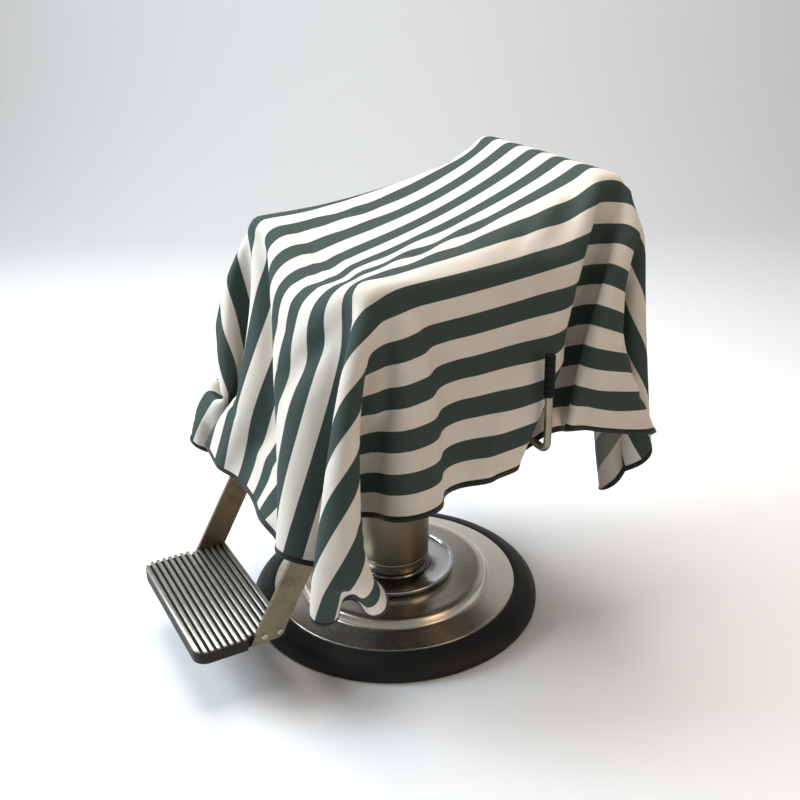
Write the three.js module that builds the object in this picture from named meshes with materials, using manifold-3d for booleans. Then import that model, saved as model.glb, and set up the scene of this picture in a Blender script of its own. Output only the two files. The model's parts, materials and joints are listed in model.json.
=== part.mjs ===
// A striped barber cape draped over a hydraulic barber chair.
// Units are millimetres. The sitter faces -Y, +X is the sitter's left and +Z is up.
// The origin is on the floor, on the axis of the round base.
import * as THREE from "three";
import { mergeVertices } from "three/addons/utils/BufferGeometryUtils.js";
import Module from "manifold-3d";

const wasm = await Module();
wasm.setup();

// ---------------------------------------------------------------- driving dimensions
const FIT = 0.3; // gap between pieces that touch
const RUN = 0.4; // radial running clearance of a pin in its hole

const base = { radius: 330, rimTop: 46, rimWidth: 51, ledge: 59, stepFoot: 54, stepSlope: 9, top: 77, wall: 6 };
const rimInner = base.radius - base.rimWidth;
const stepOuter = rimInner - base.ledge;
const stepInner = stepOuter - base.stepSlope;
const floorPlate = { inset: 10, thickness: 5 };
const collar = { radius: 138, height: 17, dish: 9, lip: 5 };
const pump = { radius: 74, wall: 8, top: 330, capThickness: 12 };
const rod = { radius: 30, foot: 40, pistonHeight: 20 };
const sleeve = { clearance: 3, wallLow: 3, wallHigh: 7, bottom: 113, taperTop: 260, top: 385 };
const head = { thickness: 25 };
const bearing = { inner: 62, outer: 80, thickness: 8 };
const swivel = { radius: 135, thickness: 22 };

// The seat's own width and depth drive the frame, the arms and the backrest round it.
const seatPad = { halfWidth: 232, front: -206, back: 222, thickness: 112, rounding: 26 };
const side = { padToArm: 4, railToArm: 20, boardInset: 14 };
const armInner = seatPad.halfWidth + side.padToArm;
const railOuter = armInner - side.railToArm;
const rail = { width: 30, height: 55, wall: 4, front: seatPad.front + 11, behindPivot: 22, overSwivel: 14 };
const railInner = railOuter - rail.width;
const cross = { width: 60, offset: 90, wall: 4 };
const pan = { halfWidth: seatPad.halfWidth - side.boardInset, front: seatPad.front + 6, back: seatPad.back + 3, thickness: 15 };

const recline = { y: seatPad.back + 18, up: 23, pinRadius: 9, pinHead: 14, leanDeg: 17 };
const bracket = { inset: 4, thickness: 10, eye: 24, depth: 34, rise: 170 };
const backPad = { halfWidth: armInner - 5, front: -38, back: 38, bottom: 150, top: 525, rounding: 24 };
const board = { halfWidth: backPad.halfWidth - 2, thickness: 12, margin: 22 };

const arm = { thickness: 20, front: seatPad.front + 38, back: recline.y - 4, height: 370, notchDepth: 131, notchHeight: 58, corner: 30 };
const armPad = { overInside: 10, width: 61, front: seatPad.front + 22, back: recline.y + 6, thickness: 30, rounding: 13 };
const stud = { radius: 10, y: -60, up: 20 };

const footrest = { length: 191, back: -343, top: 152, thickness: 30, rebate: 78, corner: 28 };
const ribs = { count: 14, width: 7.6, height: 7 };
const footArm = { thickness: 8, width: 53, frontAtTop: footrest.back - 61, bottomBelow: 23, attach: rail.front - 13, topUnderRail: 18 };
const screw = { radius: 6.5, height: 2.4, up: 13, fromFront: 27, spacing: 33 };
const footBolt = { radius: 8, height: 5, down: 22, fromFront: 27 };
const calfPad = { thickness: 34, below: 62, height: 85, inset: 1.5, behindEdge: 8 };

const lever = { y: 165, up: 35, radius: 8, bend: 18, rise: 205, gripLength: 88, gripRadius: 10.5, clearOfCape: 4 };
const boss = { wall: 8, length: 14 };

const cape = { thickness: 3, overPad: 2.5, overCrest: 6, ease: 4, binding: 8, bindingProud: 0.6, hemGap: 1.4, seamGap: 1.2 };
const drop = { front: 518, frontFlare: 146, side: 412, sideFlare: 48, frontCorner: 640, rearUnderPivot: 20, rearFlare: 26, rearCorner: 170 };
const neck = { halfWidth: 75, depth: 105, band: 12 };
const snap = { radius: 6, height: 2.5, beside: 16, up: 22 };

// ---------------------------------------------------------------- levels that follow from them
const liftHeadTop = sleeve.top + FIT + head.thickness;
const swivelBottom = liftHeadTop + FIT + bearing.thickness + FIT;
const swivelTop = swivelBottom + swivel.thickness;
const railBottom = swivelTop + rail.overSwivel;
const railTop = railBottom + rail.height;
const panBottom = railTop + FIT;
const seatBottom = panBottom + pan.thickness + FIT;
const seatTop = seatBottom + seatPad.thickness;
const armBottom = railBottom + 7;
const armTop = armBottom + arm.height;
const padBottom = armTop + FIT;
const padTop = padBottom + armPad.thickness;
const hinge = { y: recline.y, z: railBottom + recline.up };
const railBack = recline.y + rail.behindPivot;
const armPadInner = armInner - armPad.overInside;
const armPadOuter = armPadInner + armPad.width;
const footWidth = railInner - FIT;
const leverZ = railBottom + lever.up;
const lean = THREE.MathUtils.degToRad(recline.leanDeg);
const shoulderX = armPadOuter + cape.ease;
const leverReach = shoulderX + drop.sideFlare + cape.thickness + lever.clearOfCape + lever.radius;
const leverTop = leverZ + lever.rise;

// ---------------------------------------------------------------- materials
const paint = (color, roughness, metalness) => new THREE.MeshStandardMaterial({ color, roughness, metalness });
const brushedSteel = paint(0x9a9a98, 0.35, 1);
const polishedChrome = paint(0xc9ccd0, 0.12, 1);
const castAluminium = paint(0xa8a49a, 0.45, 1);
const blackRubber = paint(0x17171a, 0.7, 0);
const blackPaint = paint(0x202224, 0.5, 0.4);
const blackVinyl = paint(0x1b1b1d, 0.55, 0);
const plywood = paint(0xb08d5c, 0.8, 0);
const stripedCloth = paint(0x7d8f88, 0.8, 0);
const blackTape = paint(0x0d0d0f, 0.75, 0);

// ---------------------------------------------------------------- geometry helpers
const assembly = new THREE.Group();

function add(name, geometry, material, parent = assembly) {
  const mesh = new THREE.Mesh(geometry, material);
  mesh.name = name;
  parent.add(mesh);
  return mesh;
}

const basis = (x, y, z) => new THREE.Matrix4().makeBasis(new THREE.Vector3(...x), new THREE.Vector3(...y), new THREE.Vector3(...z));
const Z_TO_X = basis([0, 1, 0], [0, 0, 1], [1, 0, 0]);

function boxBetween(low, high) {
  const size = high.map((v, i) => v - low[i]);
  return new THREE.BoxGeometry(...size).translate(...low.map((v, i) => v + size[i] / 2));
}

// A closed profile of [radius, height] points turned about Z.
function turned(profile, segments = 48) {
  const points = profile.map(([r, z]) => new THREE.Vector2(r, z));
  if (THREE.ShapeUtils.area(points) < 0) points.reverse();
  points.push(points[0].clone());
  return new THREE.LatheGeometry(points, segments).rotateX(Math.PI / 2);
}

// The same about an axis along X, with heights as x.
const turnedAlongX = (profile, segments = 32) => turned(profile, segments).applyMatrix4(Z_TO_X);

// An outline of [y, z] points made solid from x0 to x1, with holes if any.
function extrudedAlongX(outline, x0, x1, holes = []) {
  const shape = outline instanceof THREE.Shape ? outline : new THREE.Shape(outline.map(([y, z]) => new THREE.Vector2(y, z)));
  shape.holes.push(...holes);
  const solid = new THREE.ExtrudeGeometry(shape, { depth: x1 - x0, bevelEnabled: false, curveSegments: 8 });
  return solid.applyMatrix4(Z_TO_X).translate(x0, 0, 0);
}

function roundHole(y, z, radius) {
  return new THREE.Path().absarc(y, z, radius, 0, 2 * Math.PI, true);
}

// A rectangle in the plane of the shape, with round corners of the four radii given from its first corner round.
function roundedRectangle(a0, b0, a1, b1, [r0, r1, r2, r3]) {
  const shape = new THREE.Shape();
  shape.moveTo(a0 + r0, b0).lineTo(a1 - r1, b0);
  if (r1) shape.absarc(a1 - r1, b0 + r1, r1, -Math.PI / 2, 0, false);
  shape.lineTo(a1, b1 - r2);
  if (r2) shape.absarc(a1 - r2, b1 - r2, r2, 0, Math.PI / 2, false);
  shape.lineTo(a0 + r3, b1);
  if (r3) shape.absarc(a0 + r3, b1 - r3, r3, Math.PI / 2, Math.PI, false);
  shape.lineTo(a0, b0 + r0);
  if (r0) shape.absarc(a0 + r0, b0 + r0, r0, Math.PI, 1.5 * Math.PI, false);
  return shape;
}

// A padded block with every edge rounded.
function padBetween(low, high, rounding) {
  const [w, d, h] = high.map((v, i) => v - low[i]);
  const r = Math.min(rounding, w / 2.2, d / 2.2, h / 2.2);
  const inner = Math.min(0.6 * r, (w - 2 * r) / 2.2, (d - 2 * r) / 2.2);
  const shape = roundedRectangle(low[0] + r, low[1] + r, high[0] - r, high[1] - r, [inner, inner, inner, inner]);
  const options = { depth: h - 2 * r, bevelEnabled: true, bevelSize: r, bevelThickness: r, bevelSegments: 3, curveSegments: 3 };
  return new THREE.ExtrudeGeometry(shape, options).translate(0, 0, low[2] + r);
}

// A sheet of the given thickness on a grid of outer points; the thickness is laid on the side away from `outward`.
function thickSheet(grid, outward, thickness = cape.thickness) {
  const rows = grid.length;
  const columns = grid[0].length;
  const at = (i, j) => new THREE.Vector3(...grid[Math.min(rows - 1, Math.max(0, i))][Math.min(columns - 1, Math.max(0, j))]);
  const out = new THREE.Vector3(...outward);
  const outer = [];
  const inner = [];
  let flip = false;
  for (let i = 0; i < rows; i++)
    for (let j = 0; j < columns; j++) {
      const across = at(i, j + 1).sub(at(i, j - 1));
      const down = at(i + 1, j).sub(at(i - 1, j));
      const normal = across.cross(down).normalize();
      if (!i && !j) flip = normal.dot(out) < 0;
      if (normal.dot(out) < 0) normal.negate();
      outer.push(at(i, j));
      inner.push(at(i, j).addScaledVector(normal, -thickness));
    }
  const points = [...outer, ...inner];
  const faces = [];
  const offset = outer.length;
  const quad = (a, b, c, d) => faces.push([a, b, c], [a, c, d]);
  const id = (i, j) => i * columns + j;
  for (let i = 0; i + 1 < rows; i++)
    for (let j = 0; j + 1 < columns; j++) {
      quad(id(i, j), id(i, j + 1), id(i + 1, j + 1), id(i + 1, j));
      quad(offset + id(i, j), offset + id(i + 1, j), offset + id(i + 1, j + 1), offset + id(i, j + 1));
    }
  for (let j = 0; j + 1 < columns; j++) {
    quad(id(0, j), offset + id(0, j), offset + id(0, j + 1), id(0, j + 1));
    quad(id(rows - 1, j), id(rows - 1, j + 1), offset + id(rows - 1, j + 1), offset + id(rows - 1, j));
  }
  for (let i = 0; i + 1 < rows; i++) {
    quad(id(i, 0), id(i + 1, 0), offset + id(i + 1, 0), offset + id(i, 0));
    quad(id(i, columns - 1), offset + id(i, columns - 1), offset + id(i + 1, columns - 1), id(i + 1, columns - 1));
  }
  const geometry = new THREE.BufferGeometry().setFromPoints(points);
  geometry.setIndex(faces.flatMap((f) => (flip ? [f[0], f[2], f[1]] : f)));
  geometry.computeVertexNormals();
  return geometry;
}

function solidOf(geometry) {
  const plain = geometry.clone().deleteAttribute("normal").deleteAttribute("uv");
  const merged = mergeVertices(plain, 1e-3);
  const vertProperties = new Float32Array(merged.attributes.position.array);
  const triVerts = new Uint32Array(merged.index.array);
  return new wasm.Manifold(new wasm.Mesh({ numProp: 3, vertProperties, triVerts }));
}

function geometryOf(solid) {
  const mesh = solid.getMesh();
  const geometry = new THREE.BufferGeometry();
  geometry.setAttribute("position", new THREE.BufferAttribute(new Float32Array(mesh.vertProperties), 3));
  geometry.setIndex(new THREE.BufferAttribute(new Uint32Array(mesh.triVerts), 1));
  geometry.computeVertexNormals();
  return geometry;
}

// A rectangular tube along x or y, open at both ends.
function tubeBetween(low, high, along, wall) {
  const open = (axis) => (axis === along ? -1 : wall);
  const margins = [open("x"), open("y"), wall];
  const core = boxBetween(low.map((v, i) => v + margins[i]), high.map((v, i) => v - margins[i]));
  return geometryOf(solidOf(boxBetween(low, high)).subtract(solidOf(core)));
}

const lerp = (a, b, t) => a + (b - a) * t;
const sides = [["left", 1], ["right", -1]];

// ---------------------------------------------------------------- base: stays on the floor
function buildBase() {
  const plateRadius = base.radius - floorPlate.inset;
  const clear = floorPlate.thickness + FIT;
  add("floor_plate", turned([[0, 0], [plateRadius, 0], [plateRadius, floorPlate.thickness], [0, floorPlate.thickness]]), blackPaint);

  const rimIn = rimInner + FIT;
  add(
    "base_rim",
    turned([
      [plateRadius + FIT, 0],
      [base.radius - 2, 0],
      [base.radius, 3],
      [base.radius, base.rimTop * 0.4],
      [base.radius - 4, base.rimTop * 0.58],
      [base.radius - 13, base.rimTop * 0.74],
      [rimIn + 3, base.rimTop + 1],
      [rimIn, base.rimTop - 1],
      [rimIn, clear],
      [plateRadius + FIT, clear],
    ]),
    blackRubber,
  );

  const bore = pump.radius + FIT;
  const under = base.top - base.wall;
  add(
    "base_plate",
    turned([
      [rimInner, clear],
      [rimInner, base.rimTop],
      [rimInner - 4, base.rimTop + 1.5],
      [stepOuter + 2, base.stepFoot],
      [stepOuter - 2, base.stepFoot + 2],
      [stepInner, base.top - 2],
      [stepInner - 4, base.top],
      [bore, base.top],
      [bore, under],
      [stepInner - base.wall - 4, under],
      [stepOuter - base.wall - 4, base.stepFoot - base.wall],
      [rimInner - base.wall, base.rimTop - base.wall],
      [rimInner - base.wall, clear],
    ]),
    brushedSteel,
  );

  const foot = base.top + FIT;
  const dish = foot + collar.dish;
  const lipTop = foot + collar.height;
  add(
    "collar_flange",
    turned([
      [bore, foot],
      [collar.radius - 7, foot],
      [collar.radius - 1.5, foot + 6],
      [collar.radius, foot + 12],
      [collar.radius - 1.5, lipTop - 1],
      [collar.radius - collar.lip + 1, lipTop],
      [collar.radius - collar.lip - 1.5, lipTop - 2],
      [collar.radius - collar.lip - 3, dish + 1],
      [pump.radius + 22, dish],
      [pump.radius + 10, dish + 2],
      [pump.radius + 4, lipTop + 2],
      [bore, lipTop + 2],
    ]),
    polishedChrome,
  );

  add(
    "pump_column",
    turned([
      [pump.radius - pump.wall, clear],
      [pump.radius, clear],
      [pump.radius, pump.top],
      [rod.radius + RUN, pump.top],
      [rod.radius + RUN, pump.top - pump.capThickness],
      [pump.radius - pump.wall, pump.top - pump.capThickness],
    ]),
    brushedSteel,
  );
}

// ---------------------------------------------------------------- lift: rises with the piston
function buildLift() {
  const piston = pump.radius - pump.wall - RUN;
  add(
    "piston_rod",
    turned([
      [0, rod.foot],
      [piston, rod.foot],
      [piston, rod.foot + rod.pistonHeight],
      [rod.radius, rod.foot + rod.pistonHeight],
      [rod.radius, liftHeadTop],
      [0, liftHeadTop],
    ], 48),
    polishedChrome,
  );
  const inner = pump.radius + sleeve.clearance;
  add(
    "lift_sleeve",
    turned([
      [inner, sleeve.bottom],
      [inner + sleeve.wallLow, sleeve.bottom],
      [inner + sleeve.wallHigh, sleeve.taperTop],
      [inner + sleeve.wallHigh, sleeve.top],
      [inner, sleeve.top],
    ]),
    brushedSteel,
  );
  const headBottom = sleeve.top + FIT;
  const bore = rod.radius + FIT;
  add(
    "lift_head",
    turned([[bore, headBottom], [inner + sleeve.wallHigh, headBottom], [inner + sleeve.wallHigh, liftHeadTop], [bore, liftHeadTop]], 48),
    blackPaint,
  );
  const ring = liftHeadTop + FIT;
  add(
    "swivel_bearing",
    turned([[bearing.inner, ring], [bearing.outer, ring], [bearing.outer, ring + bearing.thickness], [bearing.inner, ring + bearing.thickness]], 48),
    brushedSteel,
  );
}

// ---------------------------------------------------------------- seat: turns on the lift
function buildSeatFrame() {
  add("swivel_plate", turned([[0, swivelBottom], [swivel.radius, swivelBottom], [swivel.radius, swivelTop], [0, swivelTop]], 48), blackPaint);
  for (const [side, s] of sides) {
    const x = [s * railInner, s * railOuter].sort((a, b) => a - b);
    add(`seat_rail_${side}`, tubeBetween([x[0], rail.front, railBottom], [x[1], railBack, railTop], "y", rail.wall), blackPaint);
  }
  for (const [end, s] of [["front", -1], ["rear", 1]]) {
    const y = s * cross.offset;
    const reach = railInner - FIT;
    const low = [-reach, y - cross.width / 2, swivelTop + FIT];
    const high = [reach, y + cross.width / 2, railTop];
    add(`cross_bar_${end}`, tubeBetween(low, high, "x", cross.wall), blackPaint);
  }
  add("seat_board", boxBetween([-pan.halfWidth, pan.front, panBottom], [pan.halfWidth, pan.back, panBottom + pan.thickness]), plywood);
  add(
    "seat_cushion",
    padBetween([-seatPad.halfWidth, seatPad.front, seatBottom], [seatPad.halfWidth, seatPad.back, seatTop], seatPad.rounding),
    blackVinyl,
  );
}

function buildArms() {
  const outline = () => {
    const shape = new THREE.Shape();
    const c = arm.corner;
    const notchTop = armBottom + arm.notchHeight;
    shape.moveTo(arm.front + c, armBottom).lineTo((arm.back - arm.notchDepth), armBottom).lineTo((arm.back - arm.notchDepth), notchTop);
    shape.lineTo(arm.back, notchTop).lineTo(arm.back, armTop).lineTo(arm.front + c, armTop);
    shape.absarc(arm.front + c, armTop - c, c, Math.PI / 2, Math.PI, false);
    shape.lineTo(arm.front, armBottom + c);
    shape.absarc(arm.front + c, armBottom + c, c, Math.PI, 1.5 * Math.PI, false);
    return shape;
  };
  for (const [side, s] of sides) {
    const x = s > 0 ? armInner : -armInner - arm.thickness;
    add(`arm_panel_${side}`, extrudedAlongX(outline(), x, x + arm.thickness), blackVinyl);
    const pad = s > 0 ? [armPadInner, armPadOuter] : [-armPadOuter, -armPadInner];
    add(`arm_pad_${side}`, padBetween([pad[0], armPad.front, padBottom], [pad[1], armPad.back, padTop], armPad.rounding), blackVinyl);
    const reach = [s * (railOuter + FIT), s * (armInner - FIT)].sort((a, b) => a - b);
    const spacer = turnedAlongX([[0, reach[0]], [stud.radius, reach[0]], [stud.radius, reach[1]], [0, reach[1]]], 24);
    add(`arm_stud_${side}`, spacer.translate(0, stud.y, armBottom + stud.up), brushedSteel);
  }
}

// The leaning flat bars of the footrest run from its plate to the front of the rails.
const armTopZ = railTop - footArm.topUnderRail;
const footLean = (footArm.attach - footArm.frontAtTop) / (armTopZ - footrest.top);
const footFront = (z) => footArm.frontAtTop + (z - footrest.top) * footLean;
const footDepth = footArm.width * Math.hypot(1, footLean);
const footArmBottom = footrest.top - footArm.bottomBelow;

function buildFootrest() {
  const outer = footWidth;
  const inner = outer - footArm.thickness;
  const heel = footFront(footrest.top) + footDepth;
  for (const [side, s] of sides) {
    const x = s > 0 ? inner : -outer;
    const outline = [
      [footFront(footArmBottom) - 4, footArmBottom],
      [heel - 17, footArmBottom],
      [heel - 5, footArmBottom + 10],
      [heel, footrest.top],
      [footFront(armTopZ) + footDepth, armTopZ],
      [footFront(armTopZ) + 6, armTopZ],
      [footFront(armTopZ - 12), armTopZ - 12],
    ];
    add(`footrest_arm_${side}`, extrudedAlongX(outline, x, x + footArm.thickness), castAluminium);
    for (const [n, name] of [[0, "front"], [1, "rear"]]) {
      const face = outer + FIT;
      const proud = [s * face, s * (face + screw.height)].sort((a, b) => a - b);
      const y = footFront(footArmBottom) + screw.fromFront + n * screw.spacing;
      const disc = turnedAlongX([[0, proud[0]], [screw.radius, proud[0]], [screw.radius, proud[1]], [0, proud[1]]], 16);
      add(`footrest_screw_${side}_${name}`, disc.translate(0, y, footArmBottom + screw.up), brushedSteel);
    }
    const headIn = [s * (inner - FIT), s * (inner - FIT - footBolt.height)].sort((a, b) => a - b);
    const bolt = turnedAlongX([[0, headIn[0]], [footBolt.radius, headIn[0]], [footBolt.radius, headIn[1]], [0, headIn[1]]], 16);
    const boltZ = armTopZ - footBolt.down;
    add(`footrest_bolt_${side}`, bolt.translate(0, footFront(boltZ) + footBolt.fromFront, boltZ), brushedSteel);
  }

  const w = footWidth;
  const footrestFront = footrest.back - footrest.length;
  const slabTop = footrest.top - ribs.height;
  const slabBottom = footrest.top - footrest.thickness;
  const c = footrest.corner;
  const outline = roundedRectangle(-w, footrestFront, w, footrest.back, [c, c, 0, 0]);
  const whole = solidOf(
    new THREE.ExtrudeGeometry(outline, { depth: footrest.thickness, bevelEnabled: false, curveSegments: 6 }).translate(0, 0, slabBottom),
  );
  let plate = whole;
  const pitch = (footrest.back - footrestFront) / ribs.count;
  for (let i = 1; i < ribs.count; i++) {
    const y = footrestFront + i * pitch;
    const half = (pitch - ribs.width) / 2;
    plate = plate.subtract(solidOf(boxBetween([-w - 1, y - half, slabTop], [w + 1, y + half, footrest.top + 1])));
  }
  for (const [, s] of sides) {
    const x = [s * (inner - FIT), s * (w + 1)].sort((a, b) => a - b);
    plate = plate.subtract(solidOf(boxBetween([x[0], footrest.back - footrest.rebate - 6, slabBottom - 1], [x[1], footrest.back + 1, footrest.top + 1])));
  }
  add("footrest_plate", geometryOf(plate), castAluminium);

  const reach = inner - FIT - calfPad.inset;
  const high = armTopZ - calfPad.below;
  const low = high - calfPad.height;
  const front = [low, high].map((z) => footFront(z) + calfPad.behindEdge);
  const profile = [
    [front[0], low],
    [front[0] + calfPad.thickness, low],
    [front[1] + calfPad.thickness, high],
    [front[1], high],
  ];
  add("calf_pad", extrudedAlongX(profile, -reach, reach), blackVinyl);
}

function buildRecliningHardware() {
  const plateIn = railOuter + bracket.inset;
  const plateOut = plateIn + bracket.thickness;
  for (const [side, s] of sides) {
    const profile = [
      [0, railOuter + FIT],
      [recline.pinHead, railOuter + FIT],
      [recline.pinHead, plateIn - RUN],
      [recline.pinRadius, plateIn - RUN],
      [recline.pinRadius, plateOut + RUN],
      [recline.pinHead, plateOut + RUN],
      [recline.pinHead, plateOut + RUN + 3],
      [0, plateOut + RUN + 3],
    ].map(([r, x]) => [r, s * x]);
    add(`recline_pin_${side}`, turnedAlongX(profile, 32).translate(0, hinge.y, hinge.z), brushedSteel);
  }
  const bore = lever.radius + RUN;
  const x0 = railOuter + FIT;
  const ring = [[bore, x0], [bore + boss.wall, x0], [bore + boss.wall, x0 + boss.length], [bore, x0 + boss.length]];
  add("lever_boss", turnedAlongX(ring, 32).translate(0, lever.y, leverZ), blackPaint);
}

// ---------------------------------------------------------------- lever: the hand lever of the pump
function buildLever() {
  const gripBottom = leverTop - lever.gripLength;
  const start = railOuter + 1;
  const corner = new THREE.Vector3(leverReach, lever.y, leverZ);
  const path = new THREE.CurvePath();
  const p = (x, z) => new THREE.Vector3(x, lever.y, z);
  path.add(new THREE.LineCurve3(p(start, leverZ), p(leverReach - lever.bend, leverZ)));
  path.add(new THREE.QuadraticBezierCurve3(p(leverReach - lever.bend, leverZ), corner, p(leverReach, leverZ + lever.bend)));
  path.add(new THREE.LineCurve3(p(leverReach, leverZ + lever.bend), p(leverReach, gripBottom - FIT)));
  const samples = [0, 0.2, 0.4].map((t) => path.curves[0].getPoint(t));
  samples.push(...[0.85, 1].map((t) => path.curves[0].getPoint(t)));
  samples.push(...[0.25, 0.5, 0.75].map((t) => path.curves[1].getPoint(t)));
  samples.push(...[0, 0.2, 0.6, 1].map((t) => path.curves[2].getPoint(t)));
  const route = new THREE.CatmullRomCurve3(samples, false, "centripetal");
  const section = new THREE.Shape().absarc(0, 0, lever.radius, 0, 2 * Math.PI, false);
  const bar = new THREE.ExtrudeGeometry(section, { steps: 24, extrudePath: route, curveSegments: 6 });
  add("lever_bar", bar, polishedChrome);
  const r = lever.gripRadius;
  const grip = turned([[0, gripBottom], [r - 1.5, gripBottom], [r, gripBottom + 2], [r, leverTop - 4], [r - 3, leverTop], [0, leverTop]], 24);
  add("lever_grip", grip.translate(leverReach, lever.y, 0), blackRubber);
}

// ---------------------------------------------------------------- backrest: leans about the hinge
function buildBackrest() {
  const group = new THREE.Group();
  group.position.set(0, hinge.y, hinge.z);
  group.rotation.x = -lean;
  assembly.add(group);
  const boardFront = backPad.back + FIT;
  const behind = boardBack + FIT;
  const e = bracket.eye;
  for (const [side, s] of sides) {
    const shape = new THREE.Shape();
    shape.absarc(0, 0, e, Math.PI, 1.75 * Math.PI, false);
    const rear = behind + bracket.depth;
    const head = boardFoot + bracket.rise;
    shape.lineTo(rear, boardFoot - 40).lineTo(rear, head).lineTo(behind, head);
    shape.lineTo(behind, boardFoot - 20).lineTo(behind * 0.35, boardFoot - 75).lineTo(-e, e * 0.8);
    const plateIn = railOuter + bracket.inset;
    const x = s > 0 ? plateIn : -plateIn - bracket.thickness;
    const plate = extrudedAlongX(shape, x, x + bracket.thickness, [roundHole(0, 0, recline.pinRadius + RUN)]);
    add(`back_bracket_${side}`, plate, blackPaint, group);
  }
  const w = board.halfWidth;
  add("back_board", boxBetween([-w, boardFront, backPad.bottom + board.margin / 2], [w, boardBack, backPad.top - board.margin]), plywood, group);
  const pad = padBetween(
    [-backPad.halfWidth, backPad.front, backPad.bottom],
    [backPad.halfWidth, backPad.back, backPad.top],
    backPad.rounding,
  );
  add("back_cushion", pad, blackVinyl, group);
}

// ---------------------------------------------------------------- cape: one sheet, split where a rigid solid can't bend
// A point of the backrest, v behind its pivot and w along it, in the chair's own frame.
const onBack = (v, w) => ({
  y: hinge.y + v * Math.cos(lean) + w * Math.sin(lean),
  z: hinge.z - v * Math.sin(lean) + w * Math.cos(lean),
});
// A line of the cloth over a rounded top edge of the backrest, `tilt` forward of the edge's highest line.
function crestOver(v, tilt) {
  const centre = onBack(v, backPad.top - backPad.rounding);
  const reach = backPad.rounding + cape.overCrest + cape.thickness;
  return { y: centre.y - reach * Math.sin(tilt), z: centre.z + reach * Math.cos(tilt) };
}
const crestFront = crestOver(backPad.front + backPad.rounding, THREE.MathUtils.degToRad(25));
const crestRear = crestOver(backPad.back - backPad.rounding, 0);
const boardBack = backPad.back + FIT + board.thickness;
const boardFoot = backPad.bottom + board.margin;
const boardTop = onBack(boardBack, backPad.top - board.margin);
const bracketTop = onBack(boardBack + FIT + bracket.depth, boardFoot + bracket.rise);

const drape = {
  front: armPad.front - cape.ease,
  shoulderX,
  shoulderZ: padTop + cape.overPad + cape.thickness,
  seamY: hinge.y + 12,
  ridgeY: crestFront.y,
  ridgeZ: crestFront.z,
  ridgeX: backPad.halfWidth + cape.ease + 6,
  rearY: Math.max(boardTop.y, bracketTop.y) + cape.ease + cape.thickness,
  rearHem: hinge.z - drop.rearUnderPivot,
  rearSide: shoulderX + 77,
  leverClear: 15,
};

// The line where the top turns down into the sides, at a given y.
function shoulder(y) {
  const t = THREE.MathUtils.clamp((y - drape.front) / (drape.ridgeY - drape.front), 0, 1);
  const rise = drape.ridgeZ - drape.shoulderZ;
  const inward = drape.shoulderX - drape.ridgeX;
  const back = THREE.MathUtils.smoothstep(y, armPad.back, drape.ridgeY);
  return { x: drape.shoulderX - inward * back, z: drape.shoulderZ + rise * (0.12 * t + 0.88 * t ** 3) };
}

// The same behind the front edge of the backrest's top, where it goes over and down.
function top(y) {
  if (y <= drape.ridgeY) return shoulder(y);
  const over = Math.min(1, (y - drape.ridgeY) / (crestRear.y - drape.ridgeY));
  const down = Math.max(0, (y - crestRear.y) / (drape.rearY - crestRear.y));
  return { x: drape.ridgeX, z: lerp(drape.ridgeZ, crestRear.z, over) - backPad.rounding * down ** 2 };
}

// The hem of the sides, at a given y: it clears the lever and rides higher towards the back.
function sideHem(y) {
  const low = drape.shoulderZ - drop.side;
  const high = leverZ + lever.radius + drape.leverClear;
  const rise = THREE.MathUtils.smoothstep(y, lever.y - 45, lever.y - 20);
  const fall = THREE.MathUtils.smoothstep(y, drape.seamY + 30, drape.rearY);
  const z = lerp(lerp(low, high, rise), drape.rearHem, fall);
  const flare = drape.shoulderX + drop.sideFlare;
  return { x: lerp(flare, drape.rearSide, fall), z };
}

const columnsBetween = (a, b, n) => Array.from({ length: n + 1 }, (_, i) => lerp(a, b, i / n));

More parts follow.
